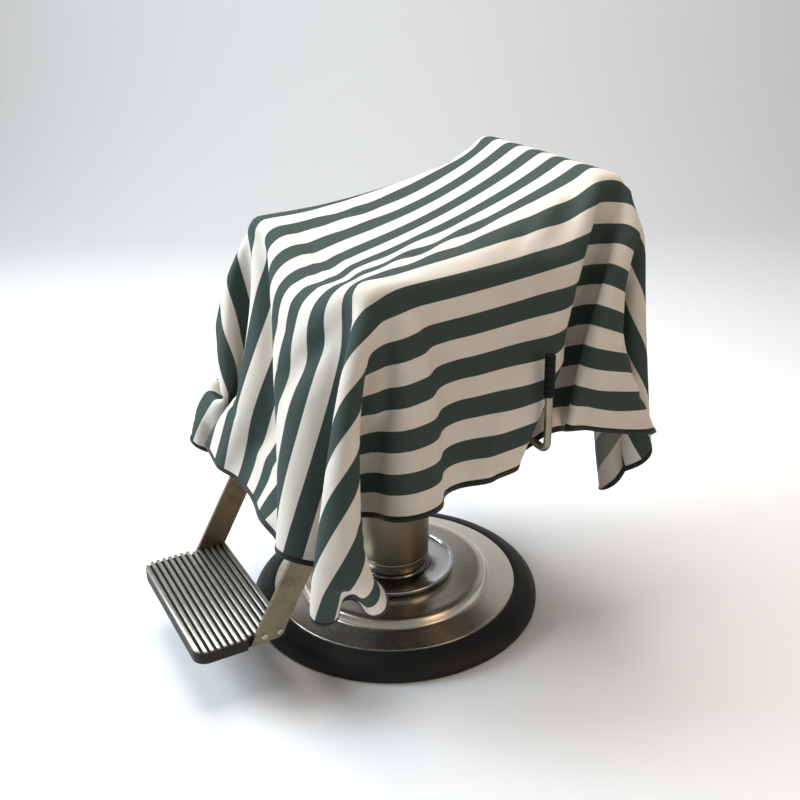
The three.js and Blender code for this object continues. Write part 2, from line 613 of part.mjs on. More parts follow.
function buildCapeOnSeat() {
  const top = columnsBetween(drape.front + FIT, drape.seamY - cape.seamGap, 6);
  const spans = [-1, -0.5, 0, 0.5, 1];
  add(
    "cape_top_front",
    thickSheet(top.map((y) => spans.map((k) => [k * (shoulder(y).x - FIT), y, shoulder(y).z])), [0, 0, 1]),
    stripedCloth,
  );

  const hemY = drape.front - drop.frontFlare;
  const hemZ = drape.shoulderZ - drop.front;
  const wide = drape.shoulderX + 14;
  const startZ = drape.shoulderZ - cape.thickness - 2;
  const frontRow = (t) => spans.map((k) => [k * lerp(drape.shoulderX - FIT, wide, t), lerp(drape.front, hemY, t), lerp(startZ, hemZ, t)]);
  add("cape_front", thickSheet([0, 0.5, 1].map(frontRow), [0, -1, 0]), stripedCloth);
  const below = (row, drop) => row.map(([x, y, z]) => [x, y, z - drop]);
  const lip = frontRow(1).map(([x, y, z]) => [x, y - cape.bindingProud, z]);
  const bindingThickness = cape.thickness + 2 * cape.bindingProud;
  add("cape_binding_front", thickSheet([below(lip, cape.hemGap), below(lip, cape.binding)], [0, -1, 0], bindingThickness), blackTape);

  for (const [side, s] of sides) {
    const ys = columnsBetween(drape.front + 6, lever.y - 46, 3)
      .concat(lever.y - 20)
      .concat(columnsBetween(lever.y + 20, drape.seamY - cape.seamGap, 1));
    const upper = ys.map((y) => [s * (shoulder(y).x + cape.thickness), y, shoulder(y).z - cape.thickness - FIT]);
    const lower = ys.map((y) => [s * (sideHem(y).x + cape.thickness), y, sideHem(y).z]);
    add(`cape_side_${side}`, thickSheet([upper, lower], [s, 0, 0]), stripedCloth);
    const edge = lower.map(([x, y, z]) => [x + s * cape.bindingProud, y, z]);
    add(`cape_binding_${side}`, thickSheet([below(edge, cape.hemGap), below(edge, cape.binding)], [s, 0, 0], bindingThickness), blackTape);

    // The corner hangs lowest: a fold from the arm's tip to the corner of the cloth.
    const tip = [s * (drape.shoulderX + 30), drape.front - 62, drape.shoulderZ - drop.frontCorner];
    const apex = [[s * (drape.shoulderX + 6), drape.front + 2, startZ - 10], [s * (drape.shoulderX + 4), drape.front - 4, startZ - 10]];
    const start = [s * (lower[0][0] * s + 1), drape.front + 2, lower[0][2]];
    const end = [s * (wide + 6), hemY + 6, hemZ];
    const mid = (a, b, t) => a.map((v, i) => lerp(v, b[i], t));
    const corner = [
      [apex[0], mid(apex[0], apex[1], 0.5), apex[1]],
      [start, mid(mid(start, end, 0.5), [tip[0], tip[1], hemZ], 0.9), end],
      [mid(start, tip, 0.8), tip, mid(end, tip, 0.8)],
    ];
    add(`cape_corner_front_${side}`, thickSheet(corner, [s, -0.6, 0]), stripedCloth);
  }
}

function buildCapeOnBack() {
  const roundEnd = drape.rearY - 5;
  const ys = columnsBetween(drape.seamY + cape.seamGap, drape.ridgeY, 3).concat(crestRear.y, lerp(crestRear.y, roundEnd, 0.6), roundEnd);
  const spans = [-1, -0.5, 0, 0.5, 1];
  add(
    "cape_top_rear",
    thickSheet(ys.map((y) => spans.map((k) => [k * (top(y).x - FIT), y, top(y).z])), [0, 0, 1]),
    stripedCloth,
  );

  // The rear panel, with the neck opening cut into the middle of its hem.
  const n = neck.halfWidth;
  const arc = columnsBetween(-Math.PI / 2, Math.PI / 2, 8).map((a) => n * Math.sin(a));
  const wide = drape.ridgeX + 40;
  const xs = [-wide, -(wide + n) / 2, ...arc, (wide + n) / 2, wide];
  const notch = (x) => (Math.abs(x) < n ? neck.depth * Math.sqrt(1 - (x / n) ** 2) : 0);
  const startZ = top(roundEnd).z - cape.thickness - 4;
  const rearAt = (x, z) => drape.rearY + drop.rearFlare * ((startZ - z) / (startZ - drape.rearHem));
  const narrow = drape.ridgeX / wide;
  const upper = xs.map((x) => [x * narrow, drape.rearY, startZ]);
  const lower = xs.map((x) => [x, rearAt(x, drape.rearHem + notch(x)), drape.rearHem + notch(x)]);
  add("cape_rear", thickSheet([upper, lower], [0, 1, 0]), stripedCloth);
  const inside = arc.map((x) => {
    const k = 1 - neck.band / n;
    const z = drape.rearHem + (notch(x) - FIT) * (1 - neck.band / neck.depth) - FIT;
    return [x * k, rearAt(x, z) + cape.bindingProud, z];
  });
  const outside = arc.map((x) => {
    const z = drape.rearHem + notch(x) - (Math.abs(x) > n - 1 ? 0 : 2 * FIT);
    return [x * (1 - (2 * FIT) / n), rearAt(x, z) + cape.bindingProud, z - FIT];
  });
  add("cape_neckband", thickSheet([outside, inside], [0, 1, 0], cape.thickness + 2 * cape.bindingProud), blackTape);
  for (const [side, s] of sides) {
    const z = drape.rearHem + snap.up;
    const y = rearAt(0, z) + cape.bindingProud + FIT;
    const stud = turned([[0, y], [snap.radius, y], [snap.radius - 1, y + snap.height], [0, y + snap.height]], 24);
    stud.applyMatrix4(basis([1, 0, 0], [0, 0, -1], [0, 1, 0]));
    add(`neck_snap_${side}`, stud.translate(s * (n + snap.beside), 0, z), brushedSteel);

    const top3 = columnsBetween(drape.seamY + cape.seamGap, drape.rearY - 8, 3);
    const over = top3.map((y3) => [s * (top(y3).x + cape.thickness + 0.5), y3, top(y3).z - cape.thickness - 2]);
    const under = top3.map((y3) => [s * (sideHem(y3).x + cape.thickness), y3, sideHem(y3).z]);
    add(`cape_rear_side_${side}`, thickSheet([over, under], [s, 0, 0]), stripedCloth);

    // The rear corner falls to its own point, lower than the hems on both sides of it.
    const reach = s * (drape.ridgeX + 14);
    const start = [s * (under[3][0] * s + 4), drape.rearY - 6, drape.rearHem + 2];
    const end = [s * (wide + 6), drape.rearY + drop.rearFlare + 4, drape.rearHem];
    const tip = [s * (wide + 26), drape.rearY + 20, drape.rearHem - drop.rearCorner];
    const mid = (a, b, t) => a.map((v, i) => lerp(v, b[i], t));
    const apex = [[reach, drape.rearY - 4, startZ - 12], [reach - s * 6, drape.rearY + 5, startZ - 12]];
    const corner = [
      [apex[0], mid(apex[0], apex[1], 0.5), apex[1]],
      [start, [s * (wide + 60), drape.rearY + 30, drape.rearHem], end],
      [mid(start, tip, 0.8), tip, mid(end, tip, 0.8)],
    ];
    add(`cape_corner_rear_${side}`, thickSheet(corner, [s, 0.6, 0]), stripedCloth);
  }
}

buildBase();
buildLift();
buildSeatFrame();
buildArms();
buildFootrest();
buildRecliningHardware();
buildLever();
buildBackrest();
buildCapeOnSeat();
buildCapeOnBack();

export default assembly;
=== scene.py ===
"""A striped barber cape draped over a hydraulic barber chair, with its finishes, light and camera."""

import json
import math

import bpy
import numpy as np
from mathutils import Matrix, Vector


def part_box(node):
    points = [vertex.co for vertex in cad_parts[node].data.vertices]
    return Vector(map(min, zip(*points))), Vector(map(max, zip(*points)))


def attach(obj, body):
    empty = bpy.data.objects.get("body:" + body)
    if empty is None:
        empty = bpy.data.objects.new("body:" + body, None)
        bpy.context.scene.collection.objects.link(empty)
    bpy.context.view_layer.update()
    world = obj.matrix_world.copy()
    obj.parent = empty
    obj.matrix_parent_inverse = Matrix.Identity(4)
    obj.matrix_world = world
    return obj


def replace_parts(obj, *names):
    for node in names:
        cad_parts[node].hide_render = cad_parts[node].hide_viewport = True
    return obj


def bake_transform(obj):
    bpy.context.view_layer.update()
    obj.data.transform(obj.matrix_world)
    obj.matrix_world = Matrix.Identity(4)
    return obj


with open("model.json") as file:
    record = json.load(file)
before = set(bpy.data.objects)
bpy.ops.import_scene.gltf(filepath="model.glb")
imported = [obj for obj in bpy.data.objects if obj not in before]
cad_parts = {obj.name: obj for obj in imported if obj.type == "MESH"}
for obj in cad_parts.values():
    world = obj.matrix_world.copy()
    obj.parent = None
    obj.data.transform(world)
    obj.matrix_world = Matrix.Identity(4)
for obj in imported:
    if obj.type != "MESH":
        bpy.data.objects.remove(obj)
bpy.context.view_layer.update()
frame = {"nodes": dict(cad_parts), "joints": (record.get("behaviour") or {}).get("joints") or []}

# ---------------------------------------------------------------- sizes, in metres
JOINTS = {joint["name"]: joint for joint in frame["joints"]}
HINGE = JOINTS["back_recline"]["pos_m"]
LEVER = JOINTS["lever_pivot"]["pos_m"]
LEAN = math.radians(17)

CAPE_WIDTH, CAPE_LENGTH = 1.45, 1.64
CAPE_CORNER = 0.10
FRONT_DROP = 0.530  # cloth in front of the arm pads
NECK_DEPTH, NECK_HALF = 0.105, 0.10
CLOTH_THICKNESS = 0.0009
BINDING_WIDTH, BINDING_THICKNESS = 0.011, 0.0034
BAND_WIDTH, BAND_THICKNESS = 0.016, 0.0052
STRIPES = 35
ARM_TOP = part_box("arm_pad_left")[1].z
CAMERA_AZIMUTH = math.radians(62.4)


# ---------------------------------------------------------------- meshes
def piece_from(name, points, faces, material, body=None, smooth=True):
    """A named mesh piece that rides on a body and takes its finish from a slot."""
    mesh = bpy.data.meshes.new(name)
    mesh.from_pydata([tuple(p) for p in points], [], [tuple(f) for f in faces])
    mesh.validate()
    mesh.update()
    mesh.polygons.foreach_set("use_smooth", [smooth] * len(mesh.polygons))
    piece = bpy.data.objects.new(name, mesh)
    bpy.context.scene.collection.objects.link(piece)
    if material:
        mesh.materials.append(material)
    if body:
        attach(piece, body)
    return piece


def sharpen(piece, degrees=35):
    """Keeps edges sharper than the angle crisp under smooth shading."""
    piece.data.set_sharp_from_angle(angle=math.radians(degrees))
    return piece


def ring_faces(rows, columns, close_rows=False):
    """Quads between rows of points, each row closed on itself."""
    faces = []
    for i in range(rows if close_rows else rows - 1):
        for j in range(columns):
            a, b = i * columns, (i + 1) % rows * columns
            k = (j + 1) % columns
            faces.append((a + j, a + k, b + k, b + j))
    return faces


def arc(centre, radius, start, end, steps):
    """Points on an arc between two angles in degrees."""
    angles = np.radians(np.linspace(start, end, steps + 1))
    return [(centre[0] + radius * math.cos(a), centre[1] + radius * math.sin(a)) for a in angles]


def rounded_outline(corners, steps=5):
    """A closed outline of (a, b, radius) corners, with each corner rounded by its own radius."""
    outline = []
    count = len(corners)
    for i, (a, b, radius) in enumerate(corners):
        here = Vector((a, b))
        before = Vector(corners[i - 1][:2]) - here
        after = Vector(corners[(i + 1) % count][:2]) - here
        reach = min(radius, before.length * 0.49, after.length * 0.49)
        if reach <= 0:
            outline.append((a, b))
            continue
        start, end = here + before.normalized() * reach, here + after.normalized() * reach
        for t in np.linspace(0, 1, steps + 1):
            outline.append(tuple(start * (1 - t) ** 2 + here * 2 * t * (1 - t) + end * t ** 2))
    return outline


def lathe(name, outline, material, body, steps=160, on_axis=False):
    """An outline of (radius, height) points turned about Z.

    The outline runs counter-clockwise when it is drawn with the radius to the right.
    """
    angles = np.linspace(0, 2 * math.pi, steps, endpoint=False)
    points = [(r * math.cos(a), r * math.sin(a), z) for r, z in outline for a in angles]
    faces = ring_faces(len(outline), steps, close_rows=not on_axis)
    if on_axis:
        last = (len(outline) - 1) * steps
        faces.append(tuple(reversed(range(steps))))
        faces.append(tuple(range(last, last + steps)))
    return sharpen(piece_from(name, points, faces, material, body))


def directions(route, closed=False):
    """Unit directions along a route of points."""
    if closed:
        along = np.gradient(np.concatenate([route[-1:], route, route[:1]]), axis=0)[1:-1]
    else:
        along = np.gradient(route, axis=0)
    return along / (np.linalg.norm(along, axis=1, keepdims=True) + 1e-12)


def sweep(name, route, across, up, section, material, closed=False):
    """A section of (across, up) points carried along a route with its own two directions at each point."""
    rows = []
    for i in range(len(route)):
        rows += [route[i] + a * across[i] + b * up[i] for a, b in section]
    count = len(section)
    faces = ring_faces(len(route), count, close_rows=closed)
    if not closed:
        last = (len(route) - 1) * count
        faces.append(tuple(reversed(range(count))))
        faces.append(tuple(range(last, last + count)))
    return piece_from(name, rows, faces, material)


# ---------------------------------------------------------------- finishes
class Tone:
    """A value or a colour that changes over a surface. Values take part in arithmetic."""

    def __init__(self, finish, socket):
        self.finish = finish
        self.socket = socket

    def _math(self, operation, *terms):
        return self.finish.node("ShaderNodeMath", {"operation": operation}, dict(enumerate(terms)))

    def __add__(self, other):
        return self._math("ADD", self, other)

    def __mul__(self, other):
        return self._math("MULTIPLY", self, other)

    def __sub__(self, other):
        return self._math("SUBTRACT", self, other)

    def __rsub__(self, other):
        return self._math("SUBTRACT", other, self)

    __radd__ = __add__
    __rmul__ = __mul__

    def pingpong(self, length):
        return self._math("PINGPONG", self, length)

    def least(self, other):
        return self._math("MINIMUM", self, other)

    def clamped(self):
        return self.finish.node("ShaderNodeClamp", {}, {0: self})

    def over(self, low, high):
        """0 below low, 1 above high."""
        inputs = {"Value": self, "From Min": low, "From Max": high}
        return self.finish.node("ShaderNodeMapRange", {"interpolation_type": "SMOOTHSTEP"}, inputs)


class Finish:
    """A material made of one Principled shader and what feeds it."""

    def __init__(self, name, **constant):
        self.material = bpy.data.materials.new(name)
        self.material.use_nodes = True
        self.tree = self.material.node_tree
        self.shader = self.tree.nodes["Principled BSDF"]
        self.set(**constant)

    def feed(self, socket, value):
        if isinstance(value, Tone):
            self.tree.links.new(value.socket, socket)
        else:
            socket.default_value = value

    def node(self, kind, settings, inputs, output=0):
        made = self.tree.nodes.new(kind)
        for key, value in settings.items():
            setattr(made, key, value)
        for key, value in inputs.items():
            self.feed(made.inputs[key], value)
        return Tone(self, made.outputs[output])

    def set(self, **inputs):
        for key, value in inputs.items():
            self.feed(self.shader.inputs[key.replace("_", " ").title().replace("Ior", "IOR")], value)

    def place(self):
        return self.node("ShaderNodeTexCoord", {}, {}, "Object")

    def cut(self):
        return self.node("ShaderNodeUVMap", {"uv_map": "cut"}, {})

    def parts(self, vector):
        """The three numbers of a vector."""
        split = self.node("ShaderNodeSeparateXYZ", {}, {0: vector})
        return [Tone(self, split.socket.node.outputs[i]) for i in range(3)]

    def noise(self, scale, detail=3.0, rough=0.55, at=None, stretch=None):
        at = at or self.place()
        if stretch:
            at = self.node("ShaderNodeMapping", {}, {"Vector": at, "Scale": stretch})
        inputs = {"Vector": at, "Scale": scale, "Detail": detail, "Roughness": rough}
        return self.node("ShaderNodeTexNoise", {}, inputs)

    def cells(self, scale, at=None):
        return self.node("ShaderNodeTexVoronoi", {}, {"Vector": at or self.place(), "Scale": scale})

    def mix(self, amount, a, b):
        """Colour a where the amount is 0 and colour b where it is 1."""
        return self.node("ShaderNodeMix", {"data_type": "RGBA"}, {0: amount, 6: a, 7: b}, 2)

    def bump(self, height, distance, strength):
        inputs = {"Height": height, "Distance": distance, "Strength": strength}
        self.set(normal=self.node("ShaderNodeBump", {}, inputs))

    def radius(self):
        """Distance from the chair's own axis."""
        x, y, _ = self.parts(self.place())
        return self.node("ShaderNodeMath", {"operation": "SQRT"}, {0: x * x + y * y})


def tint(red, green, blue):
    """A colour given as it looks on a screen, 0 to 255, in linear light."""
    dark = 10 / 255
    shares = [value / 255 for value in (red, green, blue)]
    return tuple(s / 12.92 if s <= dark else ((s + 0.055) / 1.055) ** 2.4 for s in shares) + (1,)


def dimmed(colour, red, green=None, blue=None):
    """A colour with its red, green and blue each cut to a share, or all three to one share."""
    shares = (red, green or red, blue or red)
    return tuple(c * share for c, share in zip(colour, shares)) + (1,)


def stripe_finish(name, cream, green, creased_cream):
    """Yarn-dyed stripes set out on the cut of the cape, with creases and puckers along the bound hem."""
    finish = Finish(name, roughness=0.7, specular_ior_level=0.1)
    cut = finish.cut()
    along, down, _ = finish.parts(cut)
    soft = 0.0005  # half the blur where a stripe ends
    width = (CAPE_WIDTH - 2 * BINDING_WIDTH) / STRIPES
    edge = finish.noise(900, 2, 0.6, cut) * 0.0006 - 0.0003
    wave = (along - BINDING_WIDTH + width / 2 + edge).pingpong(width)
    cream_part = wave.over(width / 2 - soft, width / 2 + soft)
    yarn = finish.noise(700, 2, 0.7, cut, stretch=(1, 0.12, 1))
    yarn_across = finish.noise(700, 2, 0.7, cut, stretch=(0.12, 1, 1))
    worn = finish.noise(5, 4, 0.6, cut)
    pale = finish.mix(worn.over(0.35, 0.75), cream, creased_cream)
    both_yarns = yarn * 0.5 + yarn_across * 0.5
    dyed = finish.mix(both_yarns.over(0.3, 0.7), dimmed(green, 0.88), green)
    finish.set(base_color=finish.mix(cream_part, dyed, pale))
    finish.set(roughness=worn * 0.12 + yarn * 0.1 + 0.6)
    from_side = along.least(CAPE_WIDTH - along)
    from_end = down.least(CAPE_LENGTH - down)
    near_hem = 1 - from_side.least(from_end).over(0.012, 0.05)
    pucker = finish.noise(75, 2, 0.5, cut) * near_hem
    crease = finish.noise(9, 3, 0.5, cut, stretch=(1.5, 0.6, 1))
    weave = (yarn + yarn_across) * 0.10
    finish.bump(crease * 1.6 + pucker * 0.55 + weave * 0.5, 0.0035, 0.75)
    return finish.material


def tape_finish():
    """Black bias tape with a fine rib and a row of stitches."""
    black = tint(9, 9, 11)
    finish = Finish("bias_tape", base_color=black, roughness=0.55, specular_ior_level=0.3, sheen_weight=0.15)
    length, around, _ = finish.parts(finish.cut())
    rib = length.pingpong(0.0006) * 900
    stitch = length.pingpong(0.0016).over(0.0003, 0.0006)
    line = 1 - (around - 0.0085).pingpong(0.012).over(0.0004, 0.0009)
    thread = stitch * line
    finish.set(base_color=finish.mix(thread, black, tint(34, 34, 37)))
    finish.bump(rib * 0.4 + thread * 1.5, 0.0004, 0.7)
    return finish.material


def vinyl_finish():
    """Upholstery vinyl with a pebbled grain, shinier in some patches."""
    finish = Finish("black_vinyl_grain", roughness=0.42, specular_ior_level=0.45)
    finish.set(coat_weight=0.12, coat_roughness=0.3)
    grain = finish.cells(520) + finish.noise(180) * 0.6
    polish = finish.noise(9, 4, 0.6)
    finish.set(base_color=finish.mix(polish.over(0.3, 0.7), tint(14.4, 14.4, 15.6), tint(24, 24, 26)))
    finish.set(roughness=polish * 0.25 + 0.32)
    finish.bump(grain, 0.0006, 0.55)
    return finish.material


def turned_steel(name, bright, dark, band_in, band_out, roughness=0.24):
    """Steel polished on a lathe: fine circles, smears of handling and a darker band between two radii, which
    on the base plate is a painted dark reflection of the room.
    """
    finish = Finish(name, metallic=1.0, roughness=roughness)
    radius = finish.radius()
    circles = finish.node("ShaderNodeCombineXYZ", {}, {0: radius, 1: 0.0, 2: 0.0})
    fine = finish.noise(900, 3, 0.6, circles)
    broad = finish.noise(60, 3, 0.6, circles)
    smear = finish.noise(6, 5, 0.65)
    blur = 0.006
    # Between band_in and band_out the colour darkens: on the base plate this is a painted dark reflection of
    # the room.
    band = radius.over(band_in, band_in + blur) * (1 - radius.over(band_out - blur, band_out))
    steel = finish.mix(smear.over(0.25, 0.8) * 0.5 + broad * 0.25, bright, dimmed(bright, 0.72))
    finish.set(base_color=finish.mix(band, steel, dark))
    finish.set(roughness=fine * 0.10 + smear * 0.16 + (roughness - 0.12))
    finish.bump(fine * 0.6 + broad * 0.4, 0.00018, 0.6)
    return finish.material


def brushed_metal(name, shade, roughness, stretch, grime, scale=420):
    """Bar or cast metal brushed one way, with grime in patches."""
    finish = Finish(name, metallic=1.0, roughness=roughness)
    brush = finish.noise(scale, 3, 0.6, stretch=stretch)
    patches = finish.noise(22, 5, 0.65)
    specks = finish.noise(210, 2, 0.5)
    stained = patches.over(0.46, 0.75) * grime + specks.over(0.66, 0.74) * 0.5 * grime
    finish.set(base_color=finish.mix(stained.clamped(), shade, dimmed(shade, 0.42, 0.38, 0.32)))
    finish.set(roughness=brush * 0.14 + patches * 0.24 + (roughness - 0.16))
    finish.bump(brush * 0.7 + specks * 0.5, 0.00025, 0.6)
    return finish.material


def rubber_finish(name, shade, dust=22, shine=0.35):
    """Moulded rubber with scuffs and dust."""
    finish = Finish(name, roughness=0.6, specular_ior_level=shine)
    scuffs = finish.noise(14, 6, 0.7)
    grit = finish.noise(380, 3, 0.6)
    red, green, blue = (c + dust for c in shade)
    dusty = tint(red, green - dust / 10, blue - dust / 4)
    finish.set(base_color=finish.mix(scuffs.over(0.5, 0.8), tint(*shade), dusty))
    finish.set(roughness=scuffs * 0.3 + grit * 0.1 + 0.38)
    finish.bump(grit + scuffs * 0.8, 0.0005, 0.5)
    return finish.material


def painted_steel():
    """Black stoved paint with an orange-peel surface and rubbed patches."""
    finish = Finish("stoved_paint", roughness=0.45, specular_ior_level=0.5)
    peel = finish.noise(260, 2, 0.5)
    rubbed = finish.noise(18, 5, 0.7)
    finish.set(base_color=finish.mix(rubbed.over(0.55, 0.8), tint(24, 25, 27), tint(52, 52, 52)))
    finish.set(roughness=rubbed * 0.2 + 0.35)
    finish.bump(peel, 0.0004, 0.4)
    return finish.material


def plywood_finish():
    """Birch plywood: long grain and thin dark plies."""
    finish = Finish("birch_ply", roughness=0.7, specular_ior_level=0.3)
    grain = finish.noise(16, 5, 0.6, stretch=(9, 0.8, 9))
    _, _, height = finish.parts(finish.place())
    plies = height.pingpong(0.0012).over(0.0002, 0.001)
    wood = finish.mix(grain.over(0.3, 0.75), tint(196, 160, 110), tint(150, 112, 70))
    finish.set(base_color=finish.mix(plies * 0.25, wood, tint(110, 78, 48)))
    finish.set(roughness=grain * 0.25 + 0.55)
    finish.bump(grain, 0.0006, 0.5)
    return finish.material


# The second steel colour is the base plate's raised middle darkened as a painted reflection of the dark room.
PALE_STEEL, PAINTED_REFLECTION_STEEL = tint(232, 226, 212), tint(184, 180, 168)
CHROME, CHROME_BAND = tint(222, 222, 222), tint(130, 128, 126)
COLUMN_STEEL = tint(128, 118, 100)
RACE_STEEL, RACE_BAND = tint(150, 150, 152), tint(140, 140, 142)
ROD_CHROME, ROD_BAND = tint(225, 226, 228), tint(210, 210, 210)
CAPE_CLOTH = stripe_finish("striped_cloth", tint(218, 211, 201), tint(62, 75, 70), tint(208, 198, 184))
CAPE_UNDERSIDE = stripe_finish(
    "striped_cloth_underside", tint(192, 184, 172), tint(112, 115, 103), tint(182, 173, 160),
)
TAPE = tape_finish()
VINYL = vinyl_finish()
FINISHES = {
    "base_rubber": rubber_finish("rim_rubber", (22, 20, 18)),
    # The band from 0.079 m to 0.199 m is painted darker as a reflection of the dark room.
    "base_steel": turned_steel("turned_steel", PALE_STEEL, PAINTED_REFLECTION_STEEL, 0.079, 0.199),
    "collar_chrome": turned_steel("collar_chrome_plate", CHROME, CHROME_BAND, 0.0, 0.09, 0.15),
    "column_steel": turned_steel("column_steel_brushed", COLUMN_STEEL, COLUMN_STEEL, 0.0, 0.01, 0.36),
    "rod_chrome": turned_steel("rod_hard_chrome", ROD_CHROME, ROD_BAND, 0.0, 0.01, 0.16),
    "bearing_steel": turned_steel("bearing_race_steel", RACE_STEEL, RACE_BAND, 0.0, 0.01, 0.3),
    "black_paint": painted_steel(),
    "seat_wood": plywood_finish(),
    "black_vinyl": VINYL,
    "footrest_bar": brushed_metal("bar_steel", tint(128, 118, 98), 0.38, (1, 0.25, 0.05), 0.6),
    "fastener_steel": brushed_metal("fastener_zinc", tint(186, 180, 168), 0.3, (1, 1, 1), 0.4, 600),
    "lever_steel": brushed_metal("lever_chrome", tint(150, 142, 126), 0.26, (1, 1, 0.05), 0.35),
    "grip_rubber": rubber_finish("grip_rubber_black", (4, 4, 4), 7, 0.2),
}


# ---------------------------------------------------------------- the cape's cut and how it falls
def cape_cut(step):
    """The cape laid flat: a grid with round corners, and a hollow for the neck in its rear hem."""
    columns, rows = (int(round(side / step / 4)) * 4 + 1 for side in (CAPE_WIDTH, CAPE_LENGTH))
    across, down = np.meshgrid(
        np.linspace(-CAPE_WIDTH / 2, CAPE_WIDTH / 2, columns),
        np.linspace(0, CAPE_LENGTH, rows),
        indexing="ij",
    )
    x, y = across.copy(), down.copy()
    for side in (-1, 1):
        for end, middle in ((-1, CAPE_CORNER), (1, CAPE_LENGTH - CAPE_CORNER)):
            out = (across * side - (CAPE_WIDTH / 2 - CAPE_CORNER)) / CAPE_CORNER
            off = (down - middle) * end / CAPE_CORNER
            corner = (out > 0) & (off > 0)
            a, b = out[corner], off[corner]
            x[corner] = side * (CAPE_WIDTH / 2 - CAPE_CORNER + CAPE_CORNER * a * np.sqrt(1 - b ** 2 / 2))
            y[corner] = middle + end * CAPE_CORNER * b * np.sqrt(1 - a ** 2 / 2)
    hollow = NECK_DEPTH / 2 * (1 + np.cos(math.pi * np.clip(np.abs(x) / NECK_HALF, 0, 1)))
    drawn = 0.40  # the length of cloth over which the grid gives way to the hollow
    share = np.clip((down - (CAPE_LENGTH - drawn)) / drawn, 0, 1)
    return np.stack([x, y - hollow * share ** 2], -1)


def leaning(points):
    """Points in the backrest's own axes: across, behind the hinge and along the backrest."""
    y, z = points[..., 1] - HINGE[1], points[..., 2] - HINGE[2]
    c, s = math.cos(LEAN), math.sin(LEAN)
    return np.stack([points[..., 0], y * c - z * s, y * s + z * c], -1)


def upright(points, turn_only=False):
    """The same back in the chair's axes."""
    c, s = math.cos(LEAN), math.sin(LEAN)
    y = points[..., 1] * c + points[..., 2] * s
    z = points[..., 2] * c - points[..., 1] * s
    shift = 0 if turn_only else 1
    return np.stack([points[..., 0], y + shift * HINGE[1], z + shift * HINGE[2]], -1)


def block(node, rounding, leans=False, reach_down=0.0, spare=0.0):
    """A rounded block in place of a CAD node, for the cloth to lie on."""
    points = np.array([v.co for v in frame["nodes"][node].data.vertices])
    if leans:
        points = leaning(points)
    low, high = points.min(0), points.max(0)
    low[2] -= reach_down
    return low - spare, high + spare, rounding, leans


